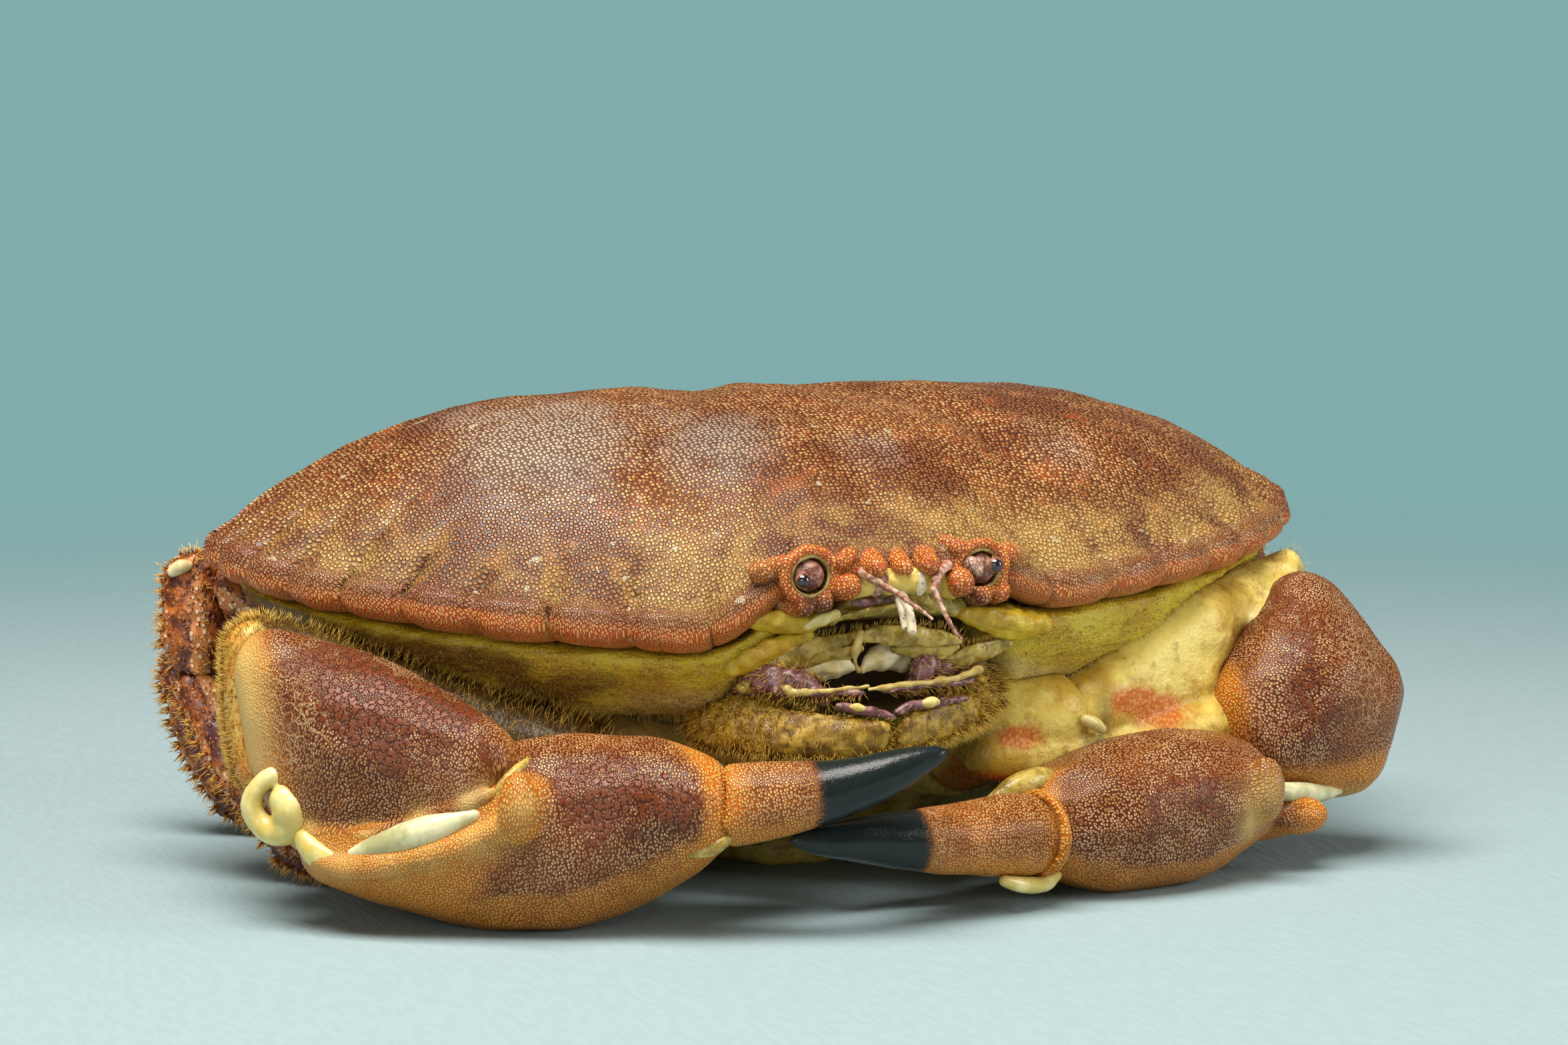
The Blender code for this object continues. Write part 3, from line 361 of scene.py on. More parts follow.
def leg_paint():
    """Rough legs. Marks: red = pale ridges, green = dark toe, blue = white knuckle."""
    p = Paint("leg_finish")
    ridge, toe, knuckle, _ = p.marks()
    broad = p.grain(0.007, 3.0)
    blots = p.grain(0.0022, 3.0, 0.7)
    knobs = p.cells(0.001, "F1", 0, 0.8).step(0.5, 0.25)
    skin = p.mix((0.1, 0.02, 0.004), (0.4, 0.11, 0.016), blots.step(0.38, 0.62))
    skin = p.mix(skin, (0.1, 0.026, 0.03), (broad.step(0.46, 0.6) * ridge.step(0.6, 0.2)) * 0.8)
    pale = p.mix((0.6, 0.22, 0.06), (0.9, 0.66, 0.42), knobs)
    skin = p.mix(skin, pale, (ridge + blots - 0.5).step(0.45, 0.9) * 0.9)
    skin = p.mix(skin, (0.06, 0.014, 0.01), toe * 0.75)
    skin = p.mix(skin, (0.86, 0.78, 0.6), knuckle)
    height = knobs * 0.7 * (1 - knuckle) + blots * 0.6
    p.finish(skin, 0.42 - knuckle * 0.22 - toe * 0.12, p.bump(height, 0.0003))


PLAIN_PAINTS = (
    # name, low and high tint, roughness, size of the mottling, depth of the bumps, tint of the specks
    ("socket_finish", (0.22, 0.15, 0.03), (0.46, 0.36, 0.12), 0.4, 0.002, 0.00012, None),
    ("feeler_finish", (0.26, 0.07, 0.04), (0.66, 0.46, 0.34), 0.42, 0.0011, 0.00012, None),
    ("stripe_finish", (0.66, 0.56, 0.36), (0.78, 0.7, 0.52), 0.35, 0.001, 0.00012, (0.2, 0.05, 0.1)),
    ("lip_finish", (0.07, 0.02, 0.02), (0.26, 0.12, 0.13), 0.26, 0.0016, 0.00012, (0.4, 0.24, 0.16)),
    ("flap_finish", (0.17, 0.085, 0.004), (0.42, 0.26, 0.022), 0.42, 0.0024, 0.0003, (0.07, 0.026, 0.004)),
    ("jaw_finish", (0.6, 0.47, 0.2), (0.8, 0.72, 0.45), 0.22, 0.004, 0.00012, (0.5, 0.24, 0.12)),
    ("shelf_finish", (0.22, 0.14, 0.015), (0.54, 0.4, 0.09), 0.22, 0.0026, 0.0003, (0.3, 0.14, 0.01)),
    ("rod_finish", (0.4, 0.27, 0.06), (0.6, 0.46, 0.15), 0.3, 0.002, 0.00012, None),
    ("hinge_finish", (0.6, 0.46, 0.12), (0.8, 0.71, 0.32), 0.2, 0.006, 0.00008, None),
    ("web_finish", (0.4, 0.38, 0.18), (0.7, 0.68, 0.42), 0.2, 0.005, 0.00004, None),
)


def plain_paint(name, low, high, rough, size, depth, speck):
    """A tinted surface with soft mottling."""
    p = Paint(name)
    blots = p.grain(size, 3.0, 0.6)
    skin = p.mix(low, high, blots.step(0.35, 0.65))
    if speck:
        skin = p.mix(skin, speck, p.grain(size * 0.7).step(0.58, 0.7) * 0.8)
    height = blots + p.grain(size * 0.3) * 0.4
    p.finish(skin, rough + blots * 0.1, p.bump(height, depth))


def eye_paint():
    """Marks: red = dark cornea, green = pale nodule."""
    p = Paint("eye_finish")
    cornea, pale, _, _ = p.marks()
    blots = p.grain(0.0014, 3.0, 0.65)
    skin = p.mix((0.4, 0.2, 0.13), (0.12, 0.025, 0.016), blots.step(0.4, 0.62))
    skin = p.mix(skin, (0.72, 0.56, 0.45), pale * p.cells(0.0005).step(0.02, 0.25))
    glass = p.mix((0.004, 0.012, 0.006), (0.035, 0.006, 0.03), blots.step(0.48, 0.6))
    skin = p.mix(skin, glass, cornea)
    rough = 0.3 - cornea * 0.24
    p.finish(skin, rough, p.bump(p.cells(0.0004) * (1 - cornea), 0.0001), Coat_Weight=cornea)


def bristle_paint(name, root, tip):
    """Marks: red runs from root to tip."""
    p = Paint(name)
    along = p.marks()[0]
    skin = p.mix(root, tip, along.step(0.1, 0.9))
    skin = p.mix(skin, shade(root, 0.6), p.grain(0.004, 2.0).step(0.5, 0.7) * 0.5)
    p.finish(skin, 0.45)


def mix_paints():
    colours, sizes = bpy.context.scene.crab_colours, bpy.context.scene.crab_sizes
    shell_paint(colours, sizes, "shell_finish", False)
    shell_paint(colours, sizes, "brow_finish", True)
    claw_paint(colours, sizes)
    cream_paint("cream_finish", colours.cream, (0.5, 0.29, 0.02), None, 0.0)
    cream_paint("cheek_finish", (0.62, 0.47, 0.03), (0.4, 0.22, 0.006), (1, 1, 4), 0.5)
    cream_paint("fold_finish", (0.62, 0.47, 0.03), (0.42, 0.24, 0.008), None, 0.1)
    leg_paint()
    eye_paint()
    for row in PLAIN_PAINTS:
        plain_paint(*row)
    bristle_paint("bristle_finish", (0.36, 0.17, 0.01), (0.9, 0.6, 0.1))
    bristle_paint("rust_bristle_finish", (0.3, 0.07, 0.006), (1.0, 0.56, 0.1))
    bristle_paint("down_finish", (0.36, 0.24, 0.05), (0.7, 0.58, 0.26))


# Mesh helpers


def only(obj):
    """Makes this the one selected and active object."""
    if bpy.context.object and bpy.context.object.mode != "OBJECT":
        bpy.ops.object.mode_set(mode="OBJECT")
    bpy.ops.object.select_all(action="DESELECT")
    obj.select_set(True)
    bpy.context.view_layer.objects.active = obj
    return obj


def apply(obj, kind, **settings):
    """Adds a modifier and applies it."""
    only(obj)
    step = obj.modifiers.new(kind.lower(), kind)
    for key, value in settings.items():
        setattr(step, key, value)
    bpy.ops.object.modifier_apply(modifier=step.name)
    return obj


def piece(obj, look, slot, *nodes):
    """A finished piece: painted, smooth, above the floor, riding on the body and standing for its nodes."""
    obj.data.materials.clear()
    obj.data.materials.append(PAINTS[look])
    obj.data.shade_smooth()
    co = positions(obj)
    if co[:, 2].min() < 0:
        co[:, 2] = np.maximum(co[:, 2], 0)
        move_points(obj, co)
    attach(obj, "root")
    if nodes:
        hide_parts(*nodes)
    return obj


def from_arrays(name, points, faces):
    mesh = bpy.data.meshes.new(name)
    mesh.from_pydata([tuple(p) for p in points], [], [tuple(f) for f in faces])
    mesh.update()
    obj = bpy.data.objects.new(name, mesh)
    bpy.context.scene.collection.objects.link(obj)
    return obj


def positions(obj):
    co = np.zeros(len(obj.data.vertices) * 3, np.float32)
    obj.data.vertices.foreach_get("co", co)
    return co.reshape(-1, 3).astype(float)


def move_points(obj, co):
    obj.data.vertices.foreach_set("co", co.astype(np.float32).ravel())
    obj.data.update()


def set_marks(obj, red=0.0, green=0.0, blue=0.0, alpha=0.0):
    """Stores four masks on the mesh's points."""
    count = len(obj.data.vertices)
    rgba = np.ones((count, 4), np.float32)
    for i, mask in enumerate((red, green, blue, alpha)):
        rgba[:, i] = np.clip(np.broadcast_to(mask, count), 0, 1)
    layer = obj.data.attributes.get("marks") or obj.data.attributes.new("marks", "FLOAT_COLOR", "POINT")
    layer.data.foreach_set("color", rgba.ravel())


def ramp(value, low, high):
    """0 below low, 1 above high and smooth between."""
    t = np.clip((value - low) / (high - low), 0, 1)
    return t * t * (3 - 2 * t)


def near(points, x, y, z, reach):
    """1 at a point in millimetres, falling to 0 about reach away. Reach may differ along x, y and z."""
    gap = np.linalg.norm((points / MM - np.array((x, y, z))) / reach, axis=1)
    return np.exp(-(gap**2))


def spots(points, *rows):
    """Soft spots added up, each given as x, y, z, reach, strength."""
    return sum(near(points, *row[:4]) * row[4] for row in rows)


def along(points, path, reach, strength):
    return spots(points, *((*p[:3], reach, strength) for p in path))


def normals_of(obj):
    way = np.zeros(len(obj.data.vertices) * 3, np.float32)
    obj.data.vertices.foreach_get("normal", way)
    return way.reshape(-1, 3).astype(float)


def share_up(mm):
    """How far up each point is between the lowest and highest points of its piece at the same x."""
    slot = np.round(mm[:, 0] / 3).astype(int)
    slot -= slot.min()
    low = np.full(slot.max() + 1, np.inf)
    high = -low
    np.minimum.at(low, slot, mm[:, 2])
    np.maximum.at(high, slot, mm[:, 2])
    where = (mm[:, 0] - mm[:, 0].min()) / 3
    low = np.interp(where, np.arange(len(low)), low)
    high = np.interp(where, np.arange(len(high)), high)
    return (mm[:, 2] - low) / np.maximum(high - low, 1)


def long_axes(mm):
    """A piece's middle and its own axes, the longest first."""
    centre = mm.mean(0)
    return centre, np.linalg.svd(mm[:: max(1, len(mm) // 900)] - centre, full_matrices=False)[2]


def round_turn(place, centre, axes):
    """The angle of places round a piece's long axis."""
    off = place - centre
    return np.arctan2(off @ axes[2], off @ axes[1])


def set_flat(obj, across, along):
    """Stores where each point of a skin lands when the skin is rolled out flat, given in millimetres."""
    spread = np.zeros((len(obj.data.vertices), 3), np.float32)
    spread[:, 0], spread[:, 1] = across * MM, along * MM
    layer = obj.data.attributes.get("flat") or obj.data.attributes.new("flat", "FLOAT_VECTOR", "POINT")
    layer.data.foreach_set("vector", spread.ravel())


def roll_out(obj):
    """Rolls a piece's skin out round its long axis, with the seam at the back."""
    mm = positions(obj) / MM
    centre, axes = long_axes(mm)
    off = mm - centre
    front = np.array((0.0, -1.0, 0.0))
    front -= axes[0] * (front @ axes[0])
    front /= np.linalg.norm(front)
    side = np.cross(axes[0], front)
    turn = np.arctan2(off @ side, off @ front)
    away = np.hypot(off @ side, off @ front)
    bins = np.clip(((turn + math.pi) / (2 * math.pi) * 72).astype(int), 0, 71)
    mean = np.bincount(bins, away, 72) / np.maximum(np.bincount(bins, minlength=72), 1)
    angle = (np.arange(72) + 0.5) / 72 * 2 * math.pi - math.pi
    ring = np.stack((np.cos(angle) * mean, np.sin(angle) * mean), 1)
    arc = np.concatenate(((0.0,), np.cumsum(np.linalg.norm(np.diff(ring, axis=0), axis=1))))
    set_flat(obj, off @ axes[0], np.interp(turn, angle, arc))


def uneven(obj, size, depth):
    """Small natural unevenness, along the normals."""
    co = positions(obj)
    push = np.array([noise.noise(Vector(p)) for p in co / size])
    move_points(obj, co + normals_of(obj) * (push * depth)[:, None])


def refined(name, node, voxel, rounds, swell=0.12 * MM, extra=(), bumps=(0.006, 0.00025), rounder=0):
    """A fine, smooth copy of a node's shape, melted together with any extra lumps."""
    obj = bpy.data.objects.new(name, NODES[node].data.copy())
    bpy.context.scene.collection.objects.link(obj)
    only(obj)
    bpy.ops.object.mode_set(mode="EDIT")
    bpy.ops.mesh.select_all(action="SELECT")
    bpy.ops.mesh.remove_doubles(threshold=0.00001)
    bpy.ops.object.mode_set(mode="OBJECT")
    if rounder:
        apply(obj, "SUBSURF", levels=rounder)
        apply(obj, "DISPLACE", strength=0.4 * MM, mid_level=0.0)
    if extra:
        for part in extra:
            part.select_set(True)
        bpy.ops.object.join()
    apply(obj, "REMESH", mode="VOXEL", voxel_size=voxel)
    apply(obj, "SMOOTH", factor=0.5, iterations=rounds)
    apply(obj, "DISPLACE", strength=swell, mid_level=0.0)
    uneven(obj, *bumps)
    return obj


def lump(x, y, z, radius, scale=(1, 1, 1), fine=3):
    """A rounded lump, given in millimetres."""
    bpy.ops.object.select_all(action="DESELECT")
    place = (x * MM, y * MM, z * MM)
    bpy.ops.mesh.primitive_ico_sphere_add(subdivisions=fine, radius=radius * MM, location=place, scale=scale)
    bpy.ops.object.transform_apply(location=True, rotation=True, scale=True)
    return bpy.context.object


def ring(x, y, z, around, tube, turn, steps, sides):
    """A round rim, given in millimetres."""
    bpy.ops.object.select_all(action="DESELECT")
    bpy.ops.mesh.primitive_torus_add(
        major_radius=around * MM,
        minor_radius=tube * MM,
        major_segments=steps,
        minor_segments=sides,
        location=(x * MM, y * MM, z * MM),
        rotation=turn,
    )
    bpy.ops.object.transform_apply(location=True, rotation=True, scale=True)
    return bpy.context.object


def rod(path, sides):
    """A tapering tube along points given as x, y, z, radius in millimetres."""
    count = len(path)
    points, faces = [], []
    spine = [Vector(p[:3]) for p in path]
    for i in range(count):
        ahead = (spine[min(i + 1, count - 1)] - spine[max(i - 1, 0)]).normalized()
        side = ahead.orthogonal().normalized() if i == 0 else (side - ahead * side.dot(ahead)).normalized()
        over = ahead.cross(side)
        for k in range(sides):
            a = math.tau * k / sides
            out = side * math.cos(a) + over * math.sin(a)
            points.append((spine[i] + out * path[i][3]) * MM)
    for i in range(count - 1):
        for k in range(sides):
            a, b = i * sides + k, i * sides + (k + 1) % sides
            faces.append((a, b, b + sides, a + sides))
    faces.append(tuple(reversed(range(sides))))
    faces.append(tuple(range((count - 1) * sides, count * sides)))
    return from_arrays("rod", points, faces)


def balls(path):
    return [lump(*path[0], fine=2), lump(*path[-1], fine=2)]


def fuse(name, parts, voxel, rounds=2):
    """Melts overlapping parts into one smooth closed piece."""
    only(parts[0])
    for part in parts[1:]:
        part.select_set(True)
    if len(parts) > 1:
        bpy.ops.object.join()
    obj = bpy.context.object
    obj.name = name
    apply(obj, "REMESH", mode="VOXEL", voxel_size=voxel)
    apply(obj, "SMOOTH", factor=0.5, iterations=rounds)
    return obj


def drawn(path, steps):
    """Points added between those of a path, on a smooth line through them."""
    path = [np.array(p, float) for p in path]
    ends = [2 * path[0] - path[1]] + path + [2 * path[-1] - path[-2]]
    out = []
    for i in range(1, len(ends) - 2):
        a, b, c, d = ends[i - 1 : i + 3]
        for k in range(steps):
            t = k / steps
            line = 2 * b + (c - a) * t + (2 * a - 5 * b + 4 * c - d) * t**2
            out.append(0.5 * (line + (3 * b - a - 3 * c + d) * t**3))
    return [tuple(p) for p in out + [path[-1]]]


def cable(path):
    """A round-ended tube on a smooth line, in parts."""
    ends = balls(path)
    return [rod(drawn(path, 4), 12), *ends]


BLADE_SIDES = 14


def leaf(path, across, thin):
    """A thin blade: a tube on a smooth line, flattened to a share of its thickness along one direction."""
    path = drawn(path, 5)
    made = rod(path, BLADE_SIDES)
    mm = positions(made) / MM
    axis = np.array(across, float)
    axis /= np.linalg.norm(axis)
    off = (mm - np.repeat(np.array(path)[:, :3], BLADE_SIDES, axis=0)) @ axis
    move_points(made, (mm - np.outer(off * (1 - thin), axis)) * MM)
    return made


def scatter(obj, count, mask, seed):
    """Random roots on a skin, closer where the mask is high: places in millimetres, normals, the draws."""
    mesh = obj.data
    mesh.calc_loop_triangles()
    corners = np.zeros(len(mesh.loop_triangles) * 3, np.int32)
    mesh.loop_triangles.foreach_get("vertices", corners)
    mm = positions(obj) / MM
    tri = mm[corners.reshape(-1, 3)]
    flat = np.cross(tri[:, 1] - tri[:, 0], tri[:, 2] - tri[:, 0])
    area = np.linalg.norm(flat, axis=1)
    centre = tri.mean(1)
    weight = area * np.clip(mask(centre, flat / np.maximum(area, 1e-9)[:, None]), 0, None)
    rng = np.random.default_rng(seed)
    pick = rng.choice(len(tri), count, p=weight / weight.sum())
    a, b = rng.random(count), rng.random(count)
    over = a + b > 1
    a[over], b[over] = 1 - a[over], 1 - b[over]
    t = tri[pick]
    place = t[:, 0] + (t[:, 1] - t[:, 0]) * a[:, None] + (t[:, 2] - t[:, 0]) * b[:, None]
    return place, flat[pick] / np.maximum(area[pick], 1e-9)[:, None], rng


def unit(vectors):
    return vectors / np.maximum(np.linalg.norm(vectors, axis=1), 1e-9)[:, None]


def wrap_round(place):
    """Where places lie on a skin unrolled round its long axis, from 0 to 1 both ways."""
    centre = place.mean(0)
    off = place - centre
    _, _, axes = np.linalg.svd(off, full_matrices=False)
    along, turn = off @ axes[0], np.arctan2(off @ axes[2], off @ axes[1])
    span = max(along.max() - along.min(), 1e-6)
    return np.stack([0.01 + 0.98 * (along - along.min()) / span, 0.01 + 0.98 * (turn / math.tau + 0.5)], 1)


def bristles(name, look, slot, place, aim_way, length, thick, bend, seed):
    """Tapering bent hairs in one piece. Each has its own patch on the skin's unwrap."""
    rng = np.random.default_rng(seed)
    count = len(place)
    way = unit(aim_way)
    length = length * (0.65 + 0.6 * rng.random(count))
    side = unit(np.cross(way, rng.normal(size=(count, 3))))
    over = np.cross(way, side)
    curl = unit(np.array(bend) + 0.45 * rng.normal(size=(count, 3)))
    points, tone = [], []
    for t in (0.0, 0.5, 1.0):
        spine = place + way * (length * t)[:, None] + curl * (length * 0.34 * t * t)[:, None]
        for k in range(3 if t < 1 else 0):
            a = math.tau * k / 3
            points.append(spine + (side * math.cos(a) + over * math.sin(a)) * thick * (1 - 0.72 * t))
            tone.append(np.full(count, t))
    points.append(spine)
    tone.append(np.ones(count))
    per = len(points)
    turns = [(k, (k + 1) % 3) for k in range(3)]
    one = [(2, 1, 0)] + [(a, b, 3 + b) for a, b in turns]
    one += [(a, 3 + b, 3 + a) for a, b in turns] + [(3 + a, 3 + b, 6) for a, b in turns]
    faces = (np.arange(count)[:, None, None] * per + np.array(one)[None]).reshape(-1, 3)
    obj = from_arrays(name, (np.stack(points, 1).reshape(-1, 3) * MM).tolist(), faces.tolist())
    set_marks(obj, np.stack(tone, 1).ravel())
    patch = np.array([(math.cos(i * 2.1), math.sin(i * 2.1)) for i in range(per)]) * 0.0014
    where = (wrap_round(place)[:, None, :] + patch[None]).reshape(-1, 2)
    layer = obj.data.uv_layers.new(name="OFBake")
    layer.data.foreach_set("uv", where[faces.ravel()].astype(np.float32).ravel())
    return piece(obj, look, slot)


def hollow_out(obj, tool):
    """Cuts a closed tool out of a piece, and removes the tool."""
    apply(obj, "BOOLEAN", operation="DIFFERENCE", solver="EXACT", object=tool)
    bpy.data.objects.remove(tool, do_unlink=True)
    return obj


def thinned(count):
    return count


# The back shell


def smooth(low, high, value):
    """What ramp does, for a single number."""
    t = min(1.0, max(0.0, (value - low) / (high - low)))
    return t * t * (3 - 2 * t)


def outline(turn):
    """The shell's edge from above, on the left side, at a turn from 0 in front to pi at the rear."""
    s, c = math.sin(turn), math.cos(turn)
    if c >= 0:
        power = 2 / FRONT_FULLNESS
        return HALF_WIDTH * s**power, WIDEST_Y - FRONT_DEPTH * c**power
    power = 2 / REAR_FULLNESS
    y = WIDEST_Y + REAR_DEPTH * abs(c) ** power
    if y > REAR_FLAT:
        y = REAR_FLAT + (y - REAR_FLAT) * 0.35
    return HALF_WIDTH * abs(s) ** power, y


def rim_height(turn, side):
    """How high the shell's edge is, round from the brow over the cheek and the side tip to the rear."""
    degrees = math.degrees(turn)
    cheek, tip, rise = CHEEK_HEIGHT[side], TIP_HEIGHT[side], RIM_RISE[side]
    if degrees < 22:
        return BROW_HEIGHT + (cheek - BROW_HEIGHT) * smooth(8.5, 22, degrees)
    if degrees < 92:
        return cheek + (tip - cheek) * ((degrees - 22) / 70) ** rise
    return tip + (REAR_HEIGHT - tip) * smooth(92, 165, degrees)


def lobe_wave(turn):
    """0 on the crest of an edge lobe and 1 in the cleft between two."""
    if not LOBE_START < turn < LOBE_END:
        return 0.0
    return 1 - abs(math.sin(math.pi * (turn - LOBE_START) / (LOBE_END - LOBE_START) * EDGE_LOBES)) ** 0.4


def bell(distance, width):
    return math.exp(-((distance / width) ** 2))


def relief(x, y):
    """Swellings and grooves of the back."""
    x = abs(x)
    swell = 0.7 * bell(math.hypot(x - 48, y + 4), 20) + 0.9 * bell(math.hypot(x, y + 8), 11)
    swell += 1.0 * bell(math.hypot(x - 13, y + 30), 10) + 0.5 * bell(math.hypot(x - 34, y + 28), 9)
    swell += 0.7 * bell(math.hypot(x, y - 18), 9)
    neck = abs((x - 19) + (y + 12) * 0.5)
    swell -= 1.3 * bell(neck, 4.5) * smooth(-44, -26, y) * (1 - smooth(4, 26, y))
    swell -= 0.6 * bell(math.hypot(x - 9, y - 6), 5.5)
    return swell - 0.5 * bell(x, 2.5) * bell(y + 46, 10)


def back_height(r, turn, side, x, y):
    """The height of the back at a share r of the way out, rounded down to the rim at its edge."""
    rim = rim_height(turn, side)
    share = min(r, RIM_START)
    fullness = 2.45 + 1.1 * math.sin(turn) ** 2
    height = rim + 1.1 + (SHELL_TOP - rim - 1.1) * (1 - share**fullness)
    front = 1 - smooth(1.75, 2.1, turn)
    wave = lobe_wave(turn)
    pillow = 0.45 * (1 - wave) * bell(share - 0.97, 0.014) - 0.3 * bell(share - 0.945, 0.016)
    height += relief(x, y) * (1 - smooth(0.8, 0.97, share)) + pillow * front
    height -= 0.8 * wave**1.5 * smooth(0.915, 0.975, share)
    if r > share:
        drop = (r - share) / (1 - RIM_START)
        foot = rim + 0.7 * wave
        height = foot + (height - foot) * math.sqrt(max(0.0, 1 - drop * drop))
    return height


def shell_place(r, turn, side):
    """The place from above of a point at a share r of the way out, drawn in at the clefts."""
    edge = outline(turn)
    share = r - lobe_wave(turn) * 2.6 / 75 * smooth(0.8, 1.0, r)
    x = side * edge[0] * share
    y = WIDEST_Y + (edge[1] - WIDEST_Y) * share
    return x, y


def shell_flat(obj, spots, top_count):
    """Rolls the back out flat: each point goes as far from the middle as it is along the shell."""
    rays = 37
    edge = 1 - (1 - RIM_START) * np.linspace(0.96, 0, 25) ** 2
    ladder = np.concatenate((np.linspace(0, RIM_START, 56), edge))
    table = np.zeros((2, rays, len(ladder)))
    for half, side in enumerate((-1, 1)):
        for k in range(rays):
            turn = math.pi * k / (rays - 1)
            flat = [shell_place(r, turn, side) for r in ladder]
            ray = np.array([(x, y, back_height(r, turn, side, x, y)) for r, (x, y) in zip(ladder, flat)])
            table[half, k, 1:] = np.cumsum(np.linalg.norm(np.diff(ray, axis=0), axis=1))
    r, turn, side = (np.array([spot[i] for spot in spots]) for i in range(3))
    mm = positions(obj) / MM
    out = mm[:, :2] - (0, WIDEST_Y)
    out /= np.maximum(np.linalg.norm(out, axis=1), 1e-6)[:, None]
    k = turn / math.pi * (rays - 1)
    low = np.minimum(k.astype(int), rays - 2)
    i = np.clip(np.searchsorted(ladder, r) - 1, 0, len(ladder) - 2)
    part = (r - ladder[i]) / (ladder[i + 1] - ladder[i])
    half = (side > 0).astype(int)
    rows = [table[half, ray, i] * (1 - part) + table[half, ray, i + 1] * part for ray in (low, low + 1)]
    far = rows[0] + (rows[1] - rows[0]) * (k - low)
    under = np.arange(len(mm)) >= top_count
    fold = 90 * (1 - r) + 2.9 * (1 - np.exp((r - 1) / 0.012))
    far = np.where(under, table[half, low, -1] + fold, far)
    set_flat(obj, out[:, 0] * far, out[:, 1] * far)


def build_shell(steps):
    """The back in one closed mesh: a square grid drawn out to an oval, then the rim and its underside."""
    points, spots = [], []
    for j in range(steps + 1):
        b = -1 + 2 * j / steps
        for i in range(steps + 1):
            a = -1 + 2 * i / steps
            u, v = a * math.sqrt(1 - b * b / 2), b * math.sqrt(1 - a * a / 2)
            r = min(1.0, math.hypot(u, v))
            turn = math.atan2(abs(u), -v)
            side = 1 if u >= 0 else -1
            x, y = shell_place(r, turn, side)
            points.append((x, y, back_height(r, turn, side, x, y)))
            spots.append((r, turn, side))
    row = steps + 1
    faces = [
        (j * row + i, j * row + i + 1, (j + 1) * row + i + 1, (j + 1) * row + i)
        for j in range(steps)
        for i in range(steps)
    ]
    edge = list(range(steps)) + [j * row + steps for j in range(steps)]
    edge += [steps * row + steps - i for i in range(steps)] + [(steps - j) * row for j in range(steps)]
    last = edge
    top_count = len(points)
    for r, drop in UNDER_RINGS:
        ring = []
        for k in edge:
            _, turn, side = spots[k]
            x, y = shell_place(r, turn, side)
            ring.append(len(points))
            notch = lobe_wave(turn) * smooth(0.8, 0.98, r)
            points.append((x, y, rim_height(turn, side) - drop * RIM_THICKNESS / 3 + 0.7 * notch))
            spots.append((r, turn, side))
        for i in range(len(ring)):
            k = (i + 1) % len(ring)
            faces.append((last[k], last[i], ring[i], ring[k]))
        last = ring
    hub = len(points)
    points.append((0, WIDEST_Y, 46.0))
    spots.append((0.0, 0.0, 1))
    faces += [(last[(i + 1) % len(last)], last[i], hub) for i in range(len(last))]
    obj = from_arrays("back_shell", np.array(points) * MM, faces)
    co = np.array(points)
    r = np.array([s[0] for s in spots])
    turn = np.array([s[1] for s in spots])
    under = np.arange(len(co)) >= top_count
    uneven(obj, 0.011, 0.0004)
    uneven(obj, 0.0035, 0.00014)
    front = 1 - ramp(turn, 1.7, 2.0)
    lobes = np.where(under, 1.0, ramp(r, 0.95, 0.985) * 0.72 + ramp(r, 0.994, 1.0) * 0.2) * front
    # Grey patches: partly wear, partly a painted reflection of the overhead light
    worn_and_sheen = np.zeros(len(co))
    for x, y, reach, much in WORN_AND_SHEEN_PATCHES:
        worn_and_sheen = np.maximum(worn_and_sheen, much * np.exp(-(((co[:, 0] - x) ** 2 + (co[:, 1] - y) ** 2) / reach**2)))
    velvet = ramp(r, 0.8, 0.93) * (1 - ramp(turn, 1.0, 1.6)) * (1 - lobes)
    velvet = velvet + ramp(r, 0.7, 0.9) * (1 - ramp(turn, 0.3, 0.75)) * 0.6 * (1 - lobes)
    clefts = np.array([lobe_wave(t) for t in turn]) ** 2 * ramp(r, 0.91, 0.96) * front
    set_marks(obj, lobes, worn_and_sheen * (1 - lobes), np.maximum(velvet, clefts * 0.9), clefts)
    shell_flat(obj, spots, top_count)
    return obj


# Grey patches on the back: partly wear, partly a painted reflection of the overhead light
WORN_AND_SHEEN_PATCHES = (
    # x, y, reach, strength
    (-42, -18, 17, 1.0), (-18, -28, 12, 0.8), (-50, -6, 10, 0.6), (-22, -16, 9, 0.6), (4, -36, 8, 0.6),
    (38, -28, 10, 0.5), (44, 6, 14, 0.6), (0, 14, 10, 0.5), (-40, 22, 12, 0.5),
)
FRONT_TEETH = ((0.1, -60.4, 51.4, 1.25), (4.1, -59.6, 51.6, 1.6), (-4.0, -59.6, 51.4, 1.65))
CORNEA = {"right": (-15.0, -58.3, 49.8, 1.15), "left": (15.2, -58.2, 50.9, 1.2)}
BROW_LOBES = {
    # each lobe runs between two balls given as x, y, z, radius
    "right": (
        ((-8.0, -58.2, 48.7, 2.1), (-9.4, -54.0, 48.2, 2.2)),
        ((-11.4, -57.4, 46.5, 1.5), (-12.0, -53.0, 46.2, 2.2)),
        ((-14.2, -56.8, 45.8, 1.5), (-15.2, -52.0, 45.6, 2.4)),
        ((-17.4, -56.0, 52.0, 1.5), (-20.2, -54.2, 50.8, 1.8)),
        ((-8.9, -57.6, 52.2, 1.3), (-7.2, -56.6, 53.0, 1.4)),
    ),
    "left": (
        ((9.6, -58.2, 48.6, 2.3), (10.2, -54.0, 48.0, 2.2)),
        ((13.3, -57.6, 46.7, 1.8), (13.6, -53.0, 46.4, 2.2)),
        ((16.5, -57.0, 46.9, 1.7), (16.6, -52.0, 46.4, 2.4)),
        ((17.8, -55.8, 52.6, 1.6), (20.6, -53.8, 51.2, 1.9)),
        ((9.6, -57.0, 53.6, 1.3), (8.2, -55.6, 54.2, 1.4)),
    ),
}


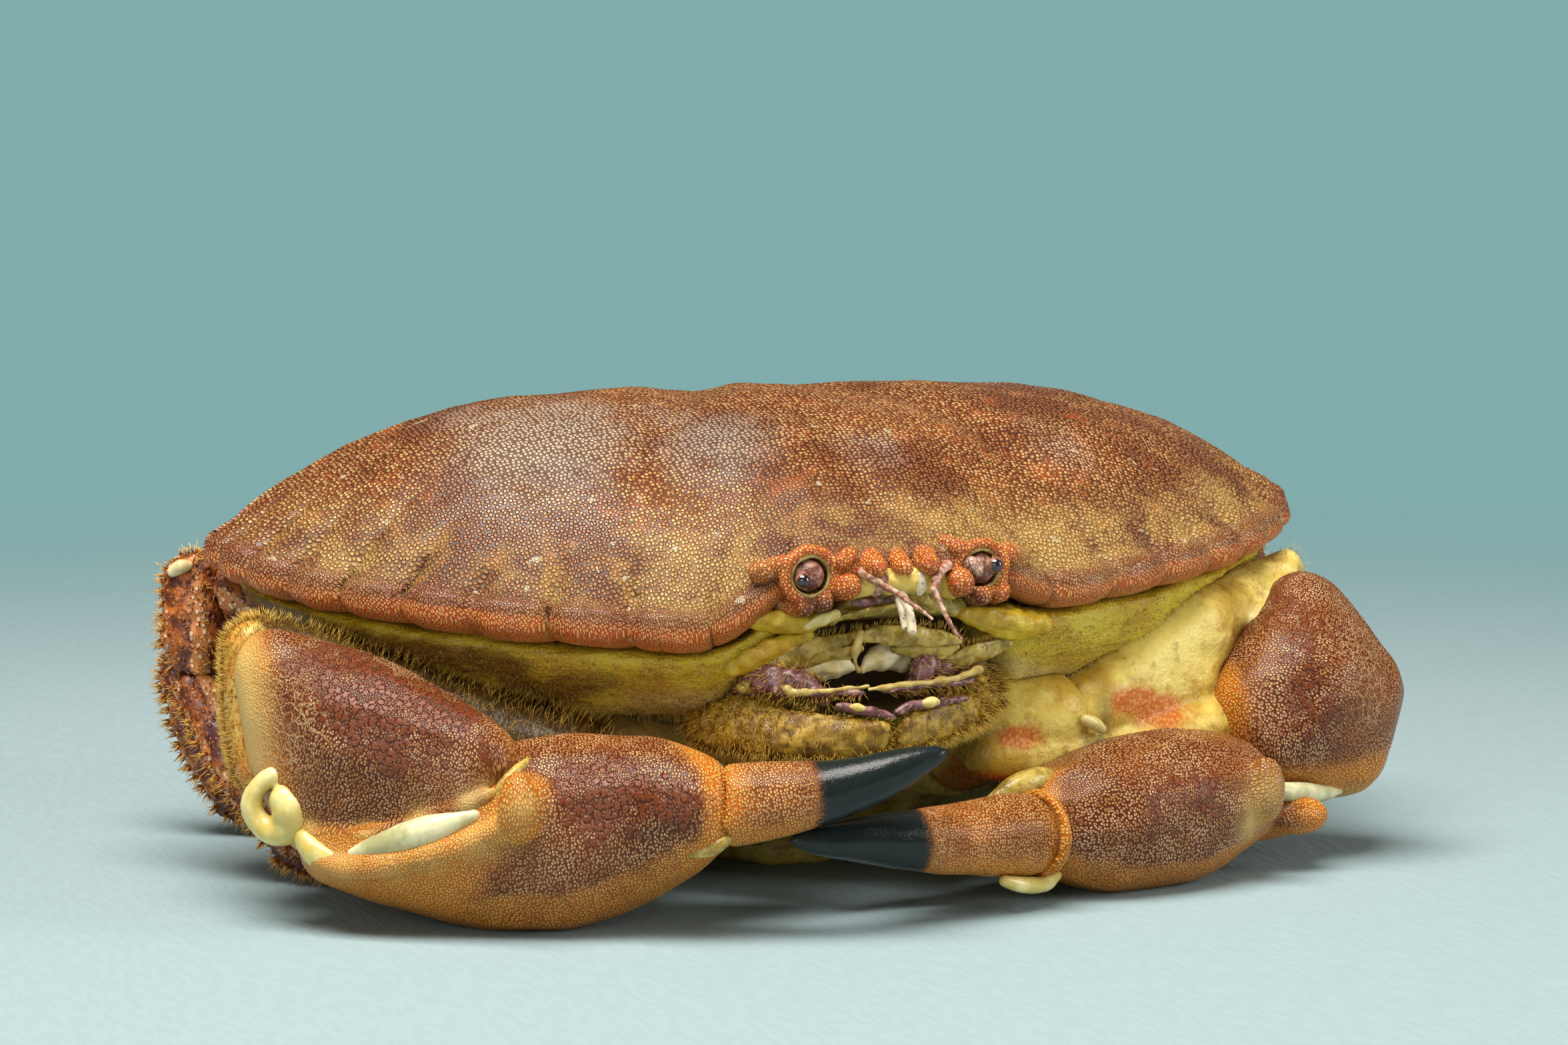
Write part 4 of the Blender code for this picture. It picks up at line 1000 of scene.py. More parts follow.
def stretched(a, b):
    """A capsule between two balls given as x, y, z, radius, in parts."""
    middle = Vector(a[:3]).lerp(Vector(b[:3]), 0.5)
    return [*balls((a, b)), rod((a, (*middle, (a[3] + b[3]) / 2), b), 12)]


def build_brows():
    """The lumpy rims round the eye sockets, their thin pale lips, and the three teeth between them."""
    made = []
    turn = (math.radians(90), 0, 0)
    for name, side in SIDES:
        parts = [ring(side * EYE.x, EYE.y - 0.2, EYE.z, 3.75, 0.95, turn, 44, 14)]
        for a, b in BROW_LOBES[name]:
            parts += stretched(a, b)
        brow = fuse("brow_" + name, parts, 0.22 * MM, 3)
        hollow_out(brow, lump(side * EYE.x, EYE.y - 0.4, EYE.z, 2.95, fine=4))
        uneven(brow, 0.002, 0.0002)
        co = positions(brow)
        low = near(co, side * 12, -57, 44.6, 3.2) * 0.4
        set_marks(brow, 0.98 - low, 0, ramp(co[:, 1] / MM, -57.2, -55.6) * 0.9)
        made.append((brow, "brow_finish", "shell_brown"))
        lip = ring(side * EYE.x, EYE.y - 0.55, EYE.z, 2.95, 0.32, turn, 44, 14)
        lip = fuse("socket_lip_" + name, [lip], 0.13 * MM, 1)
        uneven(lip, 0.0015, 0.00015)
        set_marks(lip)
        made.append((lip, "socket_finish", "cream"))
    parts = []
    for x, y, z, radius in FRONT_TEETH:
        parts += stretched((x, y, z, radius), (x * 1.05, y + 6, z + 1.2, radius + 0.9))
    teeth = fuse("front_teeth", parts, 0.22 * MM, 3)
    uneven(teeth, 0.002, 0.00025)
    y = positions(teeth)[:, 1] / MM
    set_marks(teeth, 0.95 * (1 - ramp(y, -57.5, -55.5) * 0.6), 0, ramp(y, -58.2, -56.4))
    made.append((teeth, "brow_finish", "shell_brown"))
    return made


# Operators


class CRAB_OT_shell(bpy.types.Operator):
    """The granular back shell with its pie-crust edge, brows and front teeth"""

    bl_idname = "crab.shell"
    bl_label = "Back Shell"

    def execute(self, context):
        steps = context.scene.crab_sizes.shell_steps
        shell = build_shell(steps)
        for side in (-1, 1):
            hollow_out(shell, lump(side * EYE.x, EYE.y - 0.4, EYE.z, 3.0, fine=4))
        piece(shell, "shell_finish", "shell_brown", "carapace")
        for brow, look, slot in build_brows():
            piece(brow, look, slot)

        def front(place, normal):
            out = np.hypot(place[:, 0] / 90, (place[:, 1] - 2) / 60)
            return ramp(out, 0.72, 0.9) * (normal[:, 2] > 0.1) * (place[:, 1] < -20)

        place, normal, rng = scatter(shell, 6500, front, 7)
        way = normal + 0.9 * rng.normal(size=normal.shape)
        roots, bend = place - normal * 0.1, (0, -0.4, 0.1)
        bristles("front_down", "down_finish", "shell_brown", roots, way, 0.75, 0.035, bend, 8)
        return {"FINISHED"}


PLATES = (
    # node, look, smoothing rounds, share of the skin detail
    ("breast", "cream_finish", 6, 2.2),
    ("abdomen", "cream_finish", 8, 1.4),
    ("cheek_right", "cheek_finish", 18, 1.25),
    ("cheek_left", "cheek_finish", 18, 1.25),
)


class CRAB_OT_underside(bpy.types.Operator):
    """Cheeks, breast and the folded abdomen"""

    bl_idname = "crab.underside"
    bl_label = "Underside"

    def execute(self, context):
        detail = context.scene.crab_sizes.skin_detail
        for node, look, rounds, share in PLATES:
            plate = refined(node + "_plate", node, detail * share, rounds)
            mm = positions(plate) / MM
            if node.startswith("cheek"):
                self.finish_cheek(plate, node)
            elif node == "breast":
                front = ramp(-mm[:, 1], 30, 38)
                inside = near(mm * MM, 0, -45, 36, (17, 30, 9)) * front
                # The gap mask is painted shade: near black down the middle front of the breast, behind the
                # jaws
                gap = (1 - ramp(np.abs(mm[:, 0]), 12, 20)) * front
                gap = gap * ramp(mm[:, 2], 22, 26) * (1 - ramp(mm[:, 2], 40, 44))
                set_marks(plate, 0, 0.55 + 0.6 * inside, 0, gap)
            else:
                joint = 1 - np.abs(np.sin((mm[:, 2] * 0.8 - mm[:, 1] * 0.25) * math.pi / 7)) ** 0.25
                move_points(plate, (mm - normals_of(plate) * joint[:, None] * 0.9) * MM)
                set_marks(plate, 0.25, 0.25 + joint * 0.8)
            piece(plate, look, "cream", node)
        return {"FINISHED"}

    def finish_cheek(self, cheek, node):
        """A sunk amber middle over a pale roll, painted shadow just below the shell's rim, and sparse down.
        """
        apply(cheek, "SMOOTH", factor=0.6, iterations=18)
        mm = positions(cheek) / MM
        up, aside = share_up(mm), np.abs(mm[:, 0])
        away = ramp(aside, 28, 48) * (0.45 if node.endswith("left") else 1)
        middle = np.exp(-(((up - 0.42) / 0.22) ** 2)) * away
        front = ramp(-mm[:, 1], 5, 15)
        mm[:, 1] += middle * front * 0.9
        mm[:, 2] -= np.exp(-(((up - 0.1) / 0.12) ** 2)) * away * front * 0.5
        move_points(cheek, mm * MM)
        uneven(cheek, 0.008, 0.0006)
        uneven(cheek, 0.0024, 0.0002)
        # Painted shadow along the top, just below the shell's rim, brown and darker; the sunk middle and the
        # low outer side are painted browner too
        rim_shadow = ramp(up, 0.84, 1.0) * 0.45
        low = ramp(aside, 34, 60) * (1 - ramp(up, 0.0, 0.25)) * 0.5
        roll = np.exp(-(((up - 0.2) / 0.14) ** 2)) * (1 - ramp(aside, 24, 46)) * 0.45
        set_marks(cheek, low * 0.6, middle * 1.15 + rim_shadow + low, roll, rim_shadow * 0.4)

        def lower(place, normal):
            return (normal[:, 1] < 0.1) * (0.25 + 0.6 * (normal[:, 2] < -0.1)) * (place[:, 1] < -8)

        lean, seed = (0, -0.4, -0.2), 50 + len(node)
        hang(cheek, node + "_down", "down_finish", "cream", 3000, lower, 1.5, 0.045, lean, seed, 0.6)


CLAW_PIECES = (
    # segment, look, slot
    ("ischium", "cream_finish", "cream"),
    ("merus", "cream_finish", "cream"),
    ("carpus", "claw_finish", "shell_brown"),
    ("palm", "claw_finish", "shell_brown"),
    ("dactyl", "claw_finish", "horn_black"),
)
RIGHT_FLANGE = (
    (-60.6, -61.4, 17.4, 1.4),
    (-64.6, -59.0, 14.8, 1.7),
    (-70.2, -55.8, 12.5, 1.9),
    (-75.3, -52.6, 11.0, 1.9),
    (-80.8, -48.7, 10.2, 1.7),
    (-84.3, -45.0, 11.0, 1.4),
)
RIGHT_WRIST_LIP = (
    (-84.6, -43.2, 14.6, 1.0),
    (-77.6, -48.8, 14.6, 1.2),
    (-70.8, -53.2, 17.0, 1.2),
    (-64.8, -56.8, 19.6, 1.1),
    (-61.8, -57.9, 21.4, 1.0),
)
LEFT_ARM_RIDGE = (
    (82.6, -18.8, 44.6, 2.0),
    (79.6, -24.2, 42.4, 2.1),
    (74.5, -30.3, 39.6, 2.0),
    (70.4, -33.6, 37.0, 1.5),
)
HINGES = (
    # piece, look, points with radius
    ("wrist_ring_right", "hinge_finish", (
        (-86.6, -38.4, 22.0, 1.0), (-88.8, -37.8, 22.2, 1.4), (-91.0, -37.0, 20.4, 1.5),
        (-91.8, -36.9, 17.8, 1.6), (-90.8, -37.4, 15.4, 1.8), (-88.8, -38.8, 14.2, 2.2),
        (-86.6, -40.0, 15.6, 2.9), (-86.9, -40.2, 17.6, 3.0), (-87.5, -39.8, 18.8, 2.5),
    )),
    ("wrist_knob_right", "hinge_finish", (
        (-85.4, -42.4, 13.7, 1.7), (-83.8, -44.6, 11.7, 2.2), (-80.6, -47.4, 10.5, 1.8),
        (-76.0, -50.6, 10.4, 1.0),
    )),
    ("wrist_web_right", "web_finish", (
        (-80.2, -48.2, 12.0, 0.9), (-76.0, -50.8, 13.4, 2.1), (-70.4, -54.2, 15.6, 2.6),
        (-64.4, -57.6, 18.2, 1.1),
    )),
    ("wrist_tissue_right", "shelf_finish", (
        (-61.4, -57.6, 19.4, 0.9), (-60.2, -58.0, 22.2, 1.0), (-58.0, -57.2, 24.2, 0.9),
        (-55.6, -55.4, 25.4, 0.7),
    )),
    ("finger_hinge_right", "shelf_finish", (
        (-36.0, -69.4, 13.0, 0.8), (-33.2, -70.6, 13.8, 1.2), (-30.8, -71.0, 15.2, 0.8),
    )),
    ("wrist_web_left", "web_finish", (
        (63.8, -50.8, 13.4, 0.8), (69.0, -48.4, 12.4, 1.7), (75.4, -45.0, 11.4, 1.5),
        (80.4, -42.2, 11.0, 0.7),
    )),
    ("finger_hinge_left", "shelf_finish", (
        (14.8, -57.2, 15.4, 1.0), (18.4, -57.0, 17.0, 1.8), (22.6, -56.0, 18.2, 2.0),
        (26.6, -54.6, 18.2, 1.1),
    )),
    ("finger_knob_left", "hinge_finish", (
        (13.6, -66.0, 5.2, 0.9), (17.2, -64.8, 4.2, 1.3), (21.6, -62.0, 3.6, 1.3), (25.0, -59.0, 4.2, 0.9),
    )),
    ("arm_knobs_left", "hinge_finish", (
        (34.6, -47.6, 25.4, 0.9), (36.4, -47.2, 24.6, 1.1), (37.8, -46.6, 23.6, 0.9),
    )),
    ("knuckle_right", "jaw_finish", (
        (-92.6, 11.4, 46.6, 0.9), (-91.4, 11.0, 47.4, 1.2), (-90.2, 11.4, 47.4, 0.9),
    )),
)


def claw_extras(segment, side):
    """Knobs and lips that grow from a claw segment, as loose lumps to melt into it."""
    if segment == "palm" and side < 0:
        return [lump(-59.6, -63.0, 20.0, 3.9, (0.72, 0.8, 1.3)), *cable(RIGHT_FLANGE)]
    if segment == "palm":
        knob = lump(61.2, -55.6, 14.4, 3.9, (0.72, 0.8, 1.3))
        tail = lump(70.2, -48.6, 8.8, 3.4, (1.45, 0.9, 0.85))
        turn = Vector((-0.93, -0.34, 0.0)).to_track_quat("Z", "Y").to_euler()
        return [knob, tail, ring(21.2, -61.4, 11.2, 5.7, 0.9, turn, 40, 12)]
    if segment == "carpus" and side < 0:
        return cable(RIGHT_WRIST_LIP)
    if segment == "merus" and side > 0:
        return cable(LEFT_ARM_RIDGE) + cable(((41, -41, 21, 4.0), (50, -40, 21, 4.5), (60, -38.5, 22, 4.5)))
    if segment == "ischium" and side > 0:
        return cable(((20, -44, 20.5, 4.0), (28, -43.5, 20, 4.5), (37, -42.5, 20, 4.0)))
    return []


def claw_marks(obj, segment, side):
    """Masks of each claw segment, in its finish's own order."""
    co, way = positions(obj), normals_of(obj)
    mm = co / MM
    x = mm[:, 0]
    low, high = mm.min(0), mm.max(0)
    up = (mm[:, 2] - low[2]) / (high[2] - low[2])
    below = ramp(-way[:, 2], 0.1, 0.75)
    if segment in ("ischium", "merus") and side > 0:
        orange = spots(co, (43.5, -44, 27.5, (4.5, 9, 2.2), 1), (49.5, -43, 25, (5, 9, 2.6), 1))
        orange += near(co, 24.2, -46.7, 23.2, (4, 9, 2)) + ramp(-way[:, 2], 0.3, 0.8) * 0.7
        # Painted shade: brown in the hollows high on the arm near the shell's edge, and a thin near black
        # line where the two pieces meet
        hollow_shade = spots(co, (60, -40, 34, (7, 20, 4), 0.5), (66, -35, 36, (3, 20, 6), 0.6))
        seam = near(co, 38.5, -46, 24, (1.2, 9, 6)) * 0.6
        set_marks(obj, orange, hollow_shade, along(co, LEFT_ARM_RIDGE, 2.4, 0.7), seam)
    elif segment in ("ischium", "merus"):
        rim = ramp(-x, 84, 90)
        root = 1 - ramp(-x, 26, 42)
        # Painted shade: the part between rim and root is painted brown and near black, as shade under the
        # shell's edge
        shaded_inner = (1 - rim) * (1 - root)
        set_marks(obj, rim * 0.45, shaded_inner * 1.3, root * 0.3, shaded_inner * 0.75)
    elif segment == "dactyl":
        away = np.abs(x - (low[0] if side > 0 else high[0]))
        start = 21.5 if side > 0 else 19.5
        root = ramp(away, away.max() - 5, away.max())
        set_marks(obj, 0.35 + 0.4 * root + 0.3 * below, 1 - ramp(away, start - 4.5, start + 4.5))
    elif segment == "palm":
        finger = ramp(-x, -4, 2) if side > 0 else ramp(x, -24, -18)
        root = ramp(x, high[0] - 12, high[0]) if side > 0 else ramp(-x, 56, 70)
        edge = np.maximum(below * 0.55, root * 0.8) + (1 - ramp(-way[:, 1], 0.25, 0.75)) * 0.25
        if side > 0:
            middle = spots(co, (44, -60, 14.5, (13, 20, 5.5), 0.9), (38, -56, 26, (9, 9, 3), 0.8))
            pale = spots(co, (60.8, -57.5, 14.6, 3, 0.45), (58, -55.5, 10, 3.2, 0.7))
            edge += near(co, 22, -62, 12, (4, 20, 20)) * 0.8
        else:
            middle = spots(co, (-46, -65, 20.5, (13, 20, 6.5), 1.1), (-74, -53, 12, (8, 9, 2), 0.8))
            pale = along(co, RIGHT_FLANGE, 2.6, 0.5) + near(co, -59.6, -66.5, 20.5, 2.6) * 0.4
            edge += spots(co, (-59.6, -63, 20, 5.5, 0.7), (-33, -70, 19, (2.6, 20, 20), 0.7))
        set_marks(obj, edge, finger, pale, middle)
    elif side < 0:
        edge = (1 - ramp(up, 0.06, 0.3)) + (1 - ramp(x, low[0] + 2, low[0] + 8)) * 0.7
        edge += ramp(x, high[0] - 8, high[0] - 1) * 0.6
        rim = (1 - ramp(x, low[0] + 0.4, low[0] + 4.5)) * 0.75 + (1 - ramp(up, 0.03, 0.15)) * 0.6
        rim += along(co, RIGHT_WRIST_LIP, 1.8, 0.75)
        middle = spots(co, (-73, -50, 31, (14, 20, 8), 1.15), (-80, -44, 38, (8, 20, 4), 1))
        set_marks(obj, edge * (1 - middle), near(co, -87, -40, 30, (4.5, 20, 8)) * 0.34, rim, middle)
    else:
        edge = (1 - ramp(up, 0.08, 0.36)) * 0.9 + (1 - ramp(x, low[0] + 1, low[0] + 6)) * 0.8
        middle = spots(co, (72.5, -48, 25, (8, 20, 9), 0.9), (74, -38, 38, (9, 20, 7), 0.7))
        rim = (1 - ramp(up, 0.0, 0.1)) * 0.6
        set_marks(obj, edge * (1 - middle), near(co, 83, -43, 30, (5, 20, 12)) * 0.34, rim, middle)


class CRAB_OT_claws(bpy.types.Operator):
    """Both claws: upper arms, wrists, palms and black-tipped fingers, with the hinges between them"""

    bl_idname = "crab.claws"
    bl_label = "Claws"

    def execute(self, context):
        detail = context.scene.crab_sizes.skin_detail
        for name, side in SIDES:
            for segment, look, slot in CLAW_PIECES:
                node = f"claw_{segment}_{name}"
                part = refined(node + "_skin", node, detail, 12, extra=claw_extras(segment, side), rounder=2)
                claw_marks(part, segment, side)
                roll_out(part)
                piece(part, look, slot, node)
                self.dress(part, segment, side, name)
        for name, look, path in HINGES:
            hinge = fuse(name, cable(path), 0.3 * MM, 9)
            uneven(hinge, 0.004, 0.00015)
            set_marks(hinge)
            piece(hinge, look, "cream")
        return {"FINISHED"}

    def dress(self, part, segment, side, name):
        """Down on the arms and a yellow fringe round the right arm's outer rim."""
        if segment == "merus" and side < 0:

            def strip(place, normal):
                return (normal[:, 2] > -0.2) * (place[:, 0] > -86) * (place[:, 0] < -34)

            def rim(place, normal):
                return (place[:, 0] < -85.5) * 1.0

            look, lean = "bristle_finish", (0.2, -0.4, 0.5)
            hang(part, "arm_down_" + name, look, "cream", 3600, strip, 2.2, 0.055, lean, 61, 0.5)
            hang(part, "arm_rim_" + name, look, "cream", 2600, rim, 1.7, 0.06, (-0.5, -0.3, 0.3), 62, 0.5)
        elif segment in ("merus", "ischium") and side > 0:

            def sparse(place, normal):
                return (place[:, 2] < 26) + (place[:, 0] > 70) * 6.0

            look, lean = "down_finish", (0, -0.4, 0.3)
            hang(part, f"arm_down_{segment}", look, "cream", 700, sparse, 1.3, 0.045, lean, 63, 0.6)


LEG_SEGMENTS = (("merus", 950), ("carpus", 520), ("propodus", 950), ("dactyl", 420))


class CRAB_OT_legs(bpy.types.Operator):
    """Eight rough walking legs with rows of stiff bristles"""

    bl_idname = "crab.legs"
    bl_label = "Walking Legs"

    def execute(self, context):
        sizes = context.scene.crab_sizes
        for name, side in SIDES:
            for number in range(1, 5):
                roots, ways = [], []
                for k, (segment, count) in enumerate(LEG_SEGMENTS):
                    node = f"leg{number}_{segment}_{name}"
                    part = refined(node + "_skin", node, sizes.skin_detail * 1.3, 4, bumps=(0.0022, 0.0005))
                    mm = positions(part) / MM
                    centre, axes = long_axes(mm)
                    ridge = np.cos(4 * round_turn(mm, centre, axes)) * 0.45 + 0.5
                    ridge += np.array([noise.noise(Vector(p)) for p in mm / 3.0]) * 0.5
                    set_marks(part, ridge, 1.0 if segment == "dactyl" else 0.0, 0)
                    piece(part, "leg_finish", "leg_brown", node)

                    def rows(place, normal, centre=centre, axes=axes):
                        wave = np.cos(4 * round_turn(place, centre, axes))
                        clump = np.sin(((place - centre) @ axes[0]) * 3.2)
                        return np.clip(wave + 0.1, 0.015, 1) * (clump > -0.4) * (place[:, 2] > 1.0)

                    seed = number * 10 + k + (side > 0) * 100
                    place, normal, rng = scatter(part, thinned(count), rows, seed)
                    roots.append(place)
                    ways.append(unit(normal + 0.25 * rng.normal(size=normal.shape) + (0, -0.1, 0.1)))
                bristles(
                    f"leg{number}_bristles_{name}",
                    "rust_bristle_finish",
                    "leg_brown",
                    np.concatenate(roots) - np.concatenate(ways) * 0.15,
                    np.concatenate(ways),
                    sizes.bristle_length / MM * 0.7,
                    0.14,
                    (0, 0, -0.3),
                    number,
                )
        return {"FINISHED"}


FACE_PIECES = (
    # node, look, slot
    ("palp", "lip_finish", "lip_purple"),
    ("maxilliped", "flap_finish", "fringe_gold"),
)
JAW_PARTS = (
    # piece, look, direction and share of its flattening, points with radius
    ("mandible_right_tooth", "jaw_finish", (0, 1, 0.2), 0.8, (
        (-12.2, -51.5, 35.8, 1.9), (-9.2, -52.5, 36.4, 2.46), (-7.2, -53.5, 36.4, 1.79),
        (-5.7, -54, 36.1, 0.56),
    )),
    ("mandible_left_tooth", "jaw_finish", (0, 1, 0.2), 0.8, (
        (2.9, -51.5, 36.5, 1.9), (0.3, -52.5, 37.4, 2.35), (-2.4, -53.5, 36.8, 1.68),
        (-4.1, -54, 35.6, 0.56),
    )),
    ("jaw_plate_right", "shelf_finish", (0, 1, 0), 0.45, (
        (-21.6, -50.5, 33.4, 1.0), (-17.5, -52, 36.3, 1.9), (-12.9, -53.5, 38.9, 1.7),
        (-9.2, -54.5, 39.9, 1.3), (-5.2, -55, 40.9, 0.8),
    )),
    ("jaw_plate_low_right", "shelf_finish", (0, 1, 0.3), 0.4, (
        (-14.7, -52.8, 36.7, 1.0), (-11.0, -53.8, 37.7, 1.3), (-7.2, -54.6, 38.3, 1.2),
        (-4.7, -55, 39.0, 0.6),
    )),
    ("jaw_plate_left", "shelf_finish", (0, 1, 0), 0.45, (
        (-5.2, -55, 40.7, 0.9), (-1.9, -55.6, 40.9, 1.4), (2.5, -56.2, 40.7, 1.6), (7.1, -56.4, 40.2, 1.3),
        (10.2, -56.8, 39.6, 0.5),
    )),
    ("jaw_plate_low_left", "shelf_finish", (0, 1, 0.3), 0.4, (
        (0.6, -54.5, 38.8, 0.7), (3.9, -55.2, 38.3, 1.3), (6.9, -55.4, 37.6, 1.5), (10.0, -56.2, 38.8, 0.6),
    )),
    ("jaw_plate_under_left", "shelf_finish", (0, 1, 0.3), 0.4, (
        (6.8, -54.2, 35.6, 0.9), (10.9, -54.4, 36.6, 1.5), (15.3, -53.6, 37.6, 1.6),
        (19.9, -52.2, 38.3, 0.9),
    )),
    ("jaw_spine", "rod_finish", (0, 1, 0), 0.9, (
        (-5.2, -56, 41.5, 0.5), (-5.7, -56, 39.6, 0.6), (-6.0, -55.8, 37.7, 0.5), (-5.2, -55.2, 35.7, 0.3),
    )),
    ("shelf_right", "shelf_finish", (0, 0.3, 1), 0.5, (
        (-9.5, -55.4, 43.6, 0.8), (-6.4, -56.6, 44.3, 1.2), (-3.0, -57.2, 44.9, 1.2),
        (0.0, -57.4, 45.5, 0.6),
    )),
    ("shelf_edge", "lip_finish", (0, 1, 0), 0.8, (
        (-6.8, -57.2, 45.9, 0.4), (-4.2, -57.6, 46.2, 0.6), (-1.0, -57.6, 46.4, 0.5),
    )),
    ("shelf_nodules", "hinge_finish", (0, 1, 0), 0.8, (
        (-13.3, -55.2, 42.6, 0.7), (-11.2, -55.8, 43.6, 0.9), (-9.0, -56.2, 44.4, 0.8),
    )),
    ("palate", "cream_finish", (0, 1, 0), 0.9, (
        (-6.6, -56.6, 47.9, 1.4), (-2.9, -57.0, 49.1, 2.1), (1.1, -57.4, 49.1, 2.2),
        (5.3, -57.0, 48.9, 2.2), (8.5, -56.6, 47.3, 1.5),
    )),
    ("palate_low", "shelf_finish", (0, 1, 0), 0.8, (
        (-5.6, -54.6, 45.8, 1.5), (-1.7, -55.0, 46.7, 2.2), (2.4, -55.2, 46.6, 2.4),
        (7.1, -55.0, 45.9, 2.3), (10.8, -54.6, 44.2, 1.4),
    )),
    ("feeler_base_right", "feeler_finish", (0, 1, 0), 1.0, (
        (-2.9, -58.2, 50.7, 0.8), (-2.7, -58.6, 49.9, 1.0), (-3.0, -58.4, 48.5, 0.9),
        (-3.5, -57.8, 47.6, 0.7),
    )),
    ("feeler_base_left", "shelf_finish", (0, 1, 0), 0.9, (
        (3.7, -57.2, 47.3, 0.8), (4.6, -57.2, 46.2, 1.0), (5.9, -56.8, 45.1, 0.8),
    )),
    ("fold_right", "fold_finish", (0, 1, 0.3), 0.8, (
        (-23.1, -51.7, 44.2, 1.15), (-18.5, -53.2, 43.6, 1.73), (-13.7, -54.2, 43.0, 1.58),
        (-9.3, -54.8, 43.8, 0.86),
    )),
    ("fold_left", "fold_finish", (0, 1, 0.3), 0.8, (
        (11.3, -55.4, 43.6, 1.02), (15.3, -54.8, 42.5, 2.04), (20.5, -53.4, 41.3, 2.38),
        (25.5, -51.7, 40.9, 1.7),
    )),
    ("fold_low_right", "fold_finish", (0, 1, 0.3), 0.7, (
        (-23.0, -50.2, 36.3, 1.4), (-20.1, -51.4, 37.8, 2.0), (-16.2, -52.6, 39.7, 1.8),
        (-12.5, -53.6, 41.1, 1.0),
    )),
    ("straw_right", "rod_finish", (0, 1, 0), 0.9, (
        (-16.6, -56, 33.7, 0.86), (-15.5, -56.6, 33.2, 0.72), (-12.0, -58, 33.5, 0.43),
        (-8.8, -59, 33.7, 0.4), (-5.5, -60, 34.2, 0.29),
    )),
    ("straw_left", "rod_finish", (0, 1, 0), 0.9, (
        (-5.3, -60.2, 33.7, 0.36), (-0.1, -59.2, 33.9, 0.43), (5.5, -58, 34.0, 0.5), (9.9, -57, 34.3, 0.58),
        (13.7, -56, 35.2, 0.65),
    )),
    ("lip_right", "lip_finish", (0, 1, 0), 0.9, (
        (-10.2, -60.2, 31.4, 0.55), (-7.4, -60.8, 30.9, 0.78), (-4.5, -61.4, 30.4, 0.7),
        (-2.1, -61.8, 29.6, 0.47),
    )),
    ("lip_left", "lip_finish", (0, 1, 0), 0.9, (
        (-1.6, -61.6, 30.3, 0.55), (1.2, -61.2, 31.1, 0.78), (5.2, -60.2, 31.2, 0.7),
        (10.4, -58.4, 31.3, 0.47),
    )),
    ("lip_bead_right", "hinge_finish", (0, 1, 0), 0.9, (
        (-8.6, -61.2, 31.4, 0.47), (-7.9, -61.4, 31.4, 0.7), (-7.0, -61.6, 31.2, 0.55),
    )),
    ("lip_bead_left", "hinge_finish", (0, 1, 0), 0.9, (
        (2.7, -61.4, 31.4, 0.47), (3.7, -61.4, 31.5, 0.7), (4.9, -61.0, 31.4, 0.55),
    )),
)
# Slots of the jaw parts that aren't cream, by look
JAW_SLOTS = {"lip_finish": "lip_purple", "feeler_finish": "leg_brown"}
ANTENNULES = (
    # side, points of a short feeler's branch with radius
    ("right", (
        (0.1, -58.2, 47.5, 0.8), (0.5, -59.8, 46.1, 0.7), (0.6, -61.2, 44.3, 0.65), (0.5, -62.2, 42.3, 0.75),
    )),
    ("right", ((-0.2, -58.0, 46.9, 0.5), (-0.3, -59.6, 45.1, 0.45), (-0.3, -61.0, 42.7, 0.4))),
    ("left", ((3.1, -58.6, 49.7, 0.9), (3.3, -58.9, 48.4, 0.8), (3.0, -58.6, 47.4, 0.6))),
)
FEELERS = {
    # points of each long feeler with radius
    "antenna_right": (
        (-5.7, -58.2, 50.7, 0.82), (-4.9, -59.4, 50.1, 0.82), (-4.1, -60.2, 49.4, 0.66),
        (-2.9, -60.8, 48.6, 0.61), (-1.7, -61.4, 47.9, 0.49), (-0.4, -62.2, 46.8, 0.45),
        (1.0, -63.2, 45.7, 0.37), (1.9, -63.8, 45.0, 0.29), (2.7, -64.4, 44.2, 0.25),
    ),
    "antenna_left": (
        (7.6, -58.0, 51.1, 0.82), (6.1, -59.2, 50.4, 0.78), (5.0, -60.2, 49.3, 0.7),
        (4.4, -61.0, 48.1, 0.61), (4.8, -61.6, 46.6, 0.49), (5.4, -62.2, 45.0, 0.45),
        (6.0, -62.8, 43.5, 0.41), (6.8, -63.0, 42.1, 0.33), (7.8, -63.2, 40.9, 0.25),
    ),
}


def build_eye(name, side):
    """A beaded ball deep in its socket, with a wet dark cornea low on its outer side."""
    x, y, z, radius = CORNEA[name]
    parts = [lump(side * EYE.x, EYE.y + 0.75, EYE.z, 2.45, fine=4), lump(x, y, z, radius, fine=4)]
    if side > 0:
        parts += [lump(11.5, -57.9, 51.2, 1.15), lump(12.6, -57.9, 50.0, 0.9)]
    eye = fuse("eye_ball_" + name, parts, 0.13 * MM, 2)
    co = positions(eye)
    dark = ramp(near(co, x, y - 0.3, z, 1.15), 0.36, 0.5)
    pale = near(co, 11.7, -58.4, 51.0, 1.6) if side > 0 else 0
    set_marks(eye, dark, pale)
    return piece(eye, "eye_finish", "eye_dark", "eye_" + name)


def build_feeler(name, path):
    """A jointed feeler: short thick joints at its root, then a fine many-ringed lash."""
    parts = []
    for a, b in zip(path, path[1:]):
        x, y, z, waist = ((p + q) / 2 for p, q in zip(a, b))
        parts += [lump(*a[:3], a[3] * 1.06, fine=2), rod((a, (x, y, z, waist * 0.8), b), 12)]
    parts.append(lump(*path[-1], fine=2))
    feeler = fuse(name + "_jointed", parts, 0.13 * MM, 2)
    set_marks(feeler)
    piece(feeler, "feeler_finish", "leg_brown", name)


